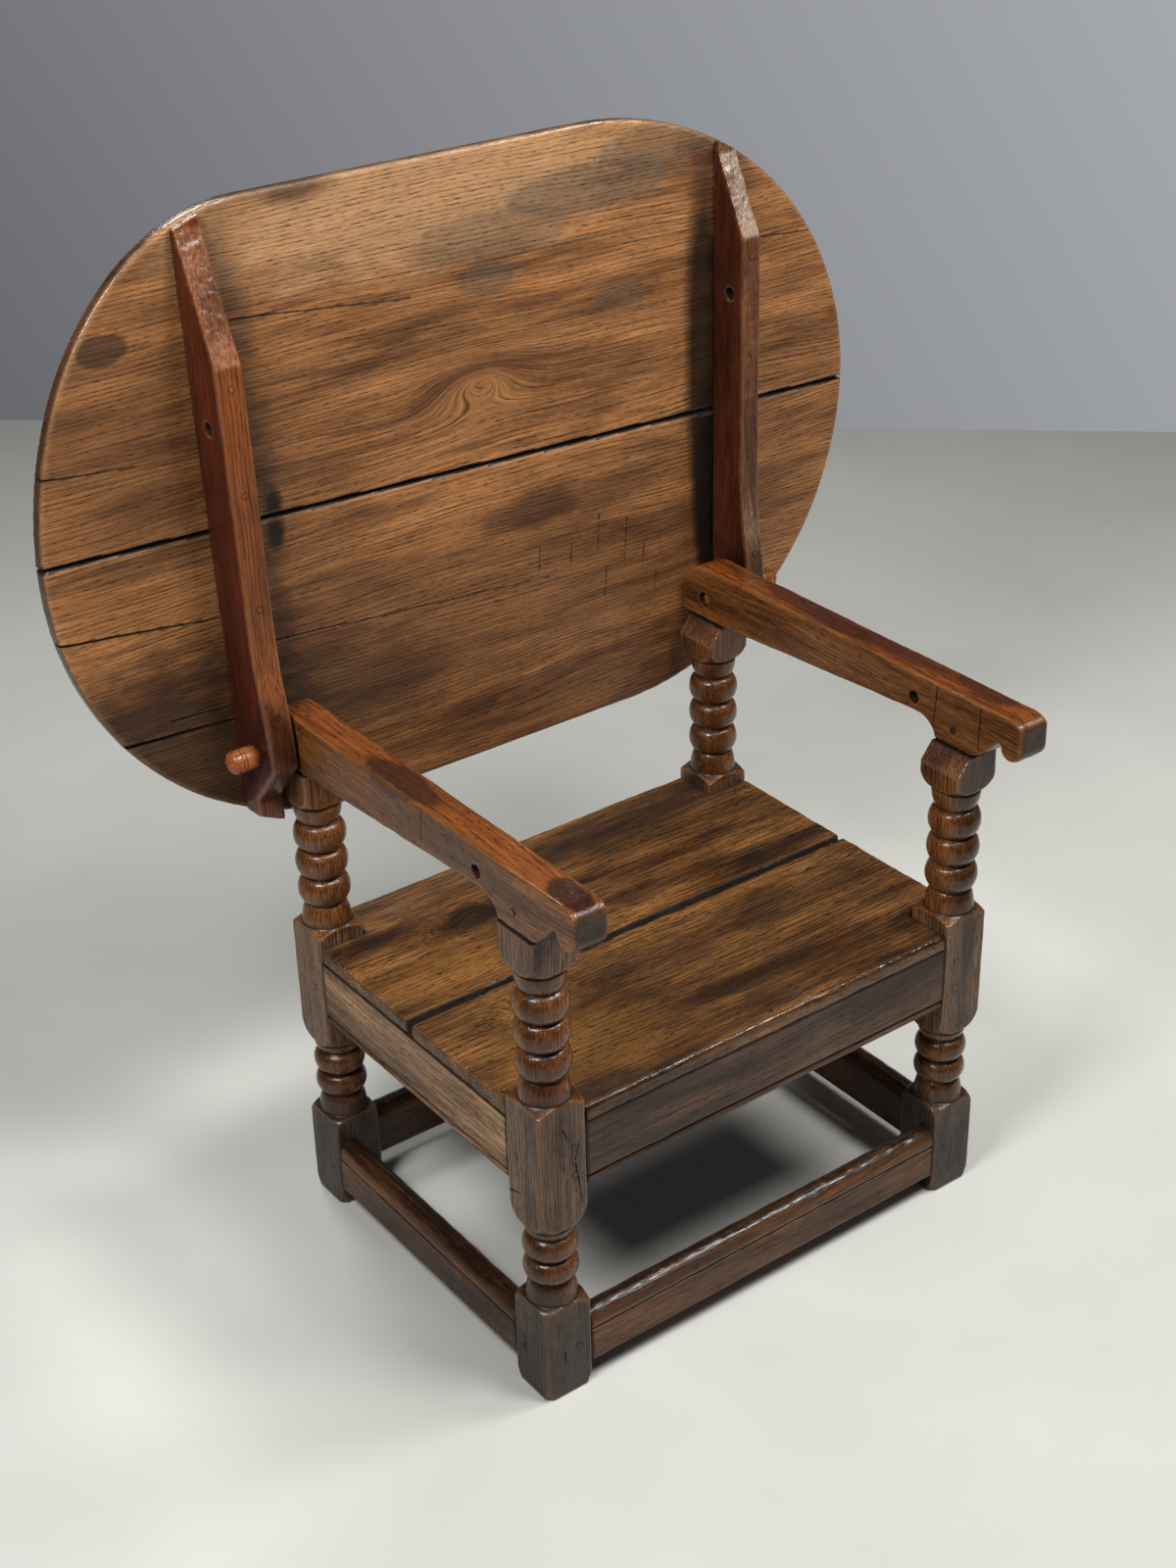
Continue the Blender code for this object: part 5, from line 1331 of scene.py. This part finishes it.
class CHAIRTABLE_OT_pegs(bpy.types.Operator):
    """Whittles one peg and drives a copy of it into every peg hole"""

    bl_idname = "chair_table.pegs"
    bl_label = "Whittled pegs"

    def execute(self, context):
        radius = context.scene.chair_table_sizes.peg_radius
        bpy.ops.object.select_all(action="DESELECT")
        bpy.ops.mesh.primitive_cylinder_add(vertices=12, radius=radius, depth=1.0, location=(0, 0, -0.5))
        peg = bpy.context.object
        settle(peg, peg.location)
        # The knife leaves uneven sides, and a rim round the head, which is darkened with dirt and painted
        # shade
        for vert in peg.data.vertices:
            vert.co.x *= 1 - 0.07 * (vert.index // 2 % 3)
            vert.co.y *= 1.03 - 0.05 * (vert.index // 2 % 2)
        edit(peg)
        bpy.ops.mesh.select_mode(type="FACE")
        bpy.ops.mesh.select_all(action="DESELECT")
        bpy.ops.object.mode_set(mode="OBJECT")
        for face in peg.data.polygons:
            face.select = face.normal.z > 0.9
        bpy.ops.object.mode_set(mode="EDIT")
        bpy.ops.mesh.inset(thickness=1.3 * MM)
        close()
        nodes = [n for n in frame["nodes"] if "_peg_" in n]
        for node in sorted(nodes):
            low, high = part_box(node)
            size = high - low
            centre = (low + high) / 2
            axis = max(range(3), key=lambda i: size[i])
            twin = copy_of(peg, f"whittled_{node}")
            if node.startswith("batten"):
                head = Vector((0, -1, 0))
                head.rotate(Matrix.Rotation(-LEAN, 3, "X"))
                length = size.y
            else:
                head = Vector((0, 0, 0))
                head[axis] = 1.0 if centre[axis] > 0 else -1.0
                length = size[axis]
            spin = head.to_track_quat("Z", "Y").to_euler()
            settle(twin, centre + head * length / 2, rotation=spin, scale=(1, 1, length))

            # Dirt and painted shade on the rim and sides, where the peg meets its hole
            def ring_of_dirt_and_shade(x, y, z):
                off_axis = np.cross(np.stack([x, y, z], axis=1) - centre, head)
                return (np.linalg.norm(off_axis, axis=1) > radius - 1.0 * MM).astype(float)

            mark(twin, 1, ring_of_dirt_and_shade)
            body = "top" if node.startswith("batten") else "frame"
            kind, _, which = node.split("_")[:3]
            deliver(twin, bpy.data.materials[PEG_FINISHES[kind].format(which)], body, "peg_oak", node)
        bpy.data.objects.remove(peg, do_unlink=True)
        return {"FINISHED"}


# Stage: a floor that ends at the backdrop, soft lamps and the photograph's camera

FLOOR_SIZE = 14
FLOOR_CENTRE = (-2.0, -2.3, 0)
FLOOR_TURN = math.radians(-41.9)
FLOOR_END = (1.666, 2.347, 0)
FLOOR_END_FACING = (0.667, 0.745, 0)
AMBIENT = (0.06, 0.061, 0.064, 1)
LIGHTER_TOWARDS = (0.80, -0.60, 0.60)
# Lamps as (name, place, aim, diameter, watts, colour)
LAMPS = (("left_softbox", (-1.8, -0.6, 2.7), (0.4, 0.2, 1.0), 0.9, 62, (1.0, 0.99, 0.97)),
         ("front_softbox", (0.5, -1.35, 3.2), (0, 0, 0.6), 0.9, 55, (1.0, 0.99, 0.96)),
         ("right_softbox", (1.5, -0.8, 2.8), (0, 0, 0.4), 0.75, 40, (1.0, 0.98, 0.95)),
         ("rear_softbox", (0.0, 1.9, 2.7), (0, 0.2, 1.2), 0.8, 26, (1.0, 0.99, 0.97)))
LENS_MM = 53.478
SENSOR_MM = 36
CAMERA_PLACE = (-1.5222, -1.9751, 2.0156)
CAMERA_TURN = [math.radians(degrees) for degrees in (60.684, 1.232, -36.897)]


class CHAIRTABLE_OT_stage(bpy.types.Operator):
    """Lays the pale floor, lights it softly and sets the camera at the photograph's view"""

    bl_idname = "chair_table.stage"
    bl_label = "Studio stage"

    def execute(self, context):
        scene = context.scene
        colours = scene.chair_table_colours
        bpy.ops.object.select_all(action="DESELECT")
        bpy.ops.mesh.primitive_plane_add(size=1.0)
        floor = bpy.context.object
        floor.name = "studio_floor"
        settle(floor, FLOOR_CENTRE, (0, 0, FLOOR_TURN), (FLOOR_SIZE, FLOOR_SIZE, 1))
        saw(floor, FLOOR_END, FLOOR_END_FACING)
        # Matt painted concrete: even and pale, faintly mottled over a third of a metre
        paint = bpy.data.materials.new("matt_painted_floor")
        paint.use_nodes = True
        tree = paint.node_tree
        shader = tree.nodes["Principled BSDF"]
        place = add_node(tree, "TexCoord")["Object"]
        cloud = add_node(tree, "TexNoise", {"Vector": place, "Scale": 3.0, "Detail": 5.0})[0]
        low = [c * 0.93 for c in colours.floor]
        cloud = add_node(tree, "ValToRGB", {0: cloud}, [(0.3, low), (0.7, colours.floor)])
        tree.links.new(cloud[0], shader.inputs["Base Color"])
        shader.inputs["Roughness"].default_value = 0.5
        floor.data.materials.append(paint)

        world = scene.world or bpy.data.worlds.new("studio")
        scene.world = world
        world.use_nodes = True
        tree = world.node_tree
        background = tree.nodes["Background"]
        toward = add_node(tree, "TexCoord")["Generated"]
        # The backdrop grows lighter to the right and upwards
        light = add_node(tree, "VectorMath", {0: toward, 1: LIGHTER_TOWARDS},
                         operation="DOT_PRODUCT")["Value"]
        light = add_node(tree, "MapRange", {"Value": light, "From Min": -0.46, "From Max": 0.14,
                         "To Min": 0.5, "To Max": 1.5})[0]
        shade = add_node(tree, "VectorMath", {0: tuple(colours.backdrop), "Scale": light},
                         operation="SCALE")[0]
        ray = add_node(tree, "LightPath")
        tint = add_node(tree, "Mix", {0: ray["Is Camera Ray"], 6: AMBIENT, 7: shade}, data_type="RGBA")
        tree.links.new(tint[2], background.inputs["Color"])

        for name, spot, aim, size, power, colour in LAMPS:
            data = bpy.data.lights.new(name, "AREA")
            data.shape = "DISK"
            data.size = size
            data.energy = power
            data.color = colour
            lamp = bpy.data.objects.new(name, data)
            scene.collection.objects.link(lamp)
            lamp.location = spot
            lamp.rotation_euler = (Vector(aim) - Vector(spot)).to_track_quat("-Z", "Y").to_euler()

        data = bpy.data.cameras.new("photo_view")
        data.lens = LENS_MM
        data.sensor_width = SENSOR_MM
        camera = bpy.data.objects.new("photo_view", data)
        scene.collection.objects.link(camera)
        camera.location = CAMERA_PLACE
        camera.rotation_euler = CAMERA_TURN
        scene.camera = camera
        scene.view_settings.view_transform = "Standard"
        return {"FINISHED"}


STEPS = (CHAIRTABLE_OT_posts, CHAIRTABLE_OT_rails, CHAIRTABLE_OT_stretchers, CHAIRTABLE_OT_seat,
         CHAIRTABLE_OT_arms, CHAIRTABLE_OT_top_boards, CHAIRTABLE_OT_battens, CHAIRTABLE_OT_pins,
         CHAIRTABLE_OT_pegs, CHAIRTABLE_OT_stage)


class CHAIRTABLE_PT_panel(bpy.types.Panel):
    """Lists the steps of the chair-table"""

    bl_label = "Oak chair-table"
    bl_idname = "CHAIRTABLE_PT_panel"
    bl_space_type = "VIEW_3D"
    bl_region_type = "UI"
    bl_category = "Chair-table"

    def draw(self, context):
        for step in STEPS:
            self.layout.operator(step.bl_idname)
        for settings in (context.scene.chair_table_sizes, context.scene.chair_table_colours):
            for name in type(settings).__annotations__:
                self.layout.prop(settings, name)


CLASSES = (ChairTableSizes, ChairTableColours, *STEPS, CHAIRTABLE_PT_panel)


def register():
    for cls in CLASSES:
        bpy.utils.register_class(cls)
    bpy.types.Scene.chair_table_sizes = bpy.props.PointerProperty(type=ChairTableSizes)
    bpy.types.Scene.chair_table_colours = bpy.props.PointerProperty(type=ChairTableColours)


def unregister():
    del bpy.types.Scene.chair_table_colours
    del bpy.types.Scene.chair_table_sizes
    for cls in reversed(CLASSES):
        bpy.utils.unregister_class(cls)


def main():
    register()
    for step in STEPS:
        group, name = step.bl_idname.split(".")
        getattr(getattr(bpy.ops, group), name)()


if __name__ == "__main__":
    main()
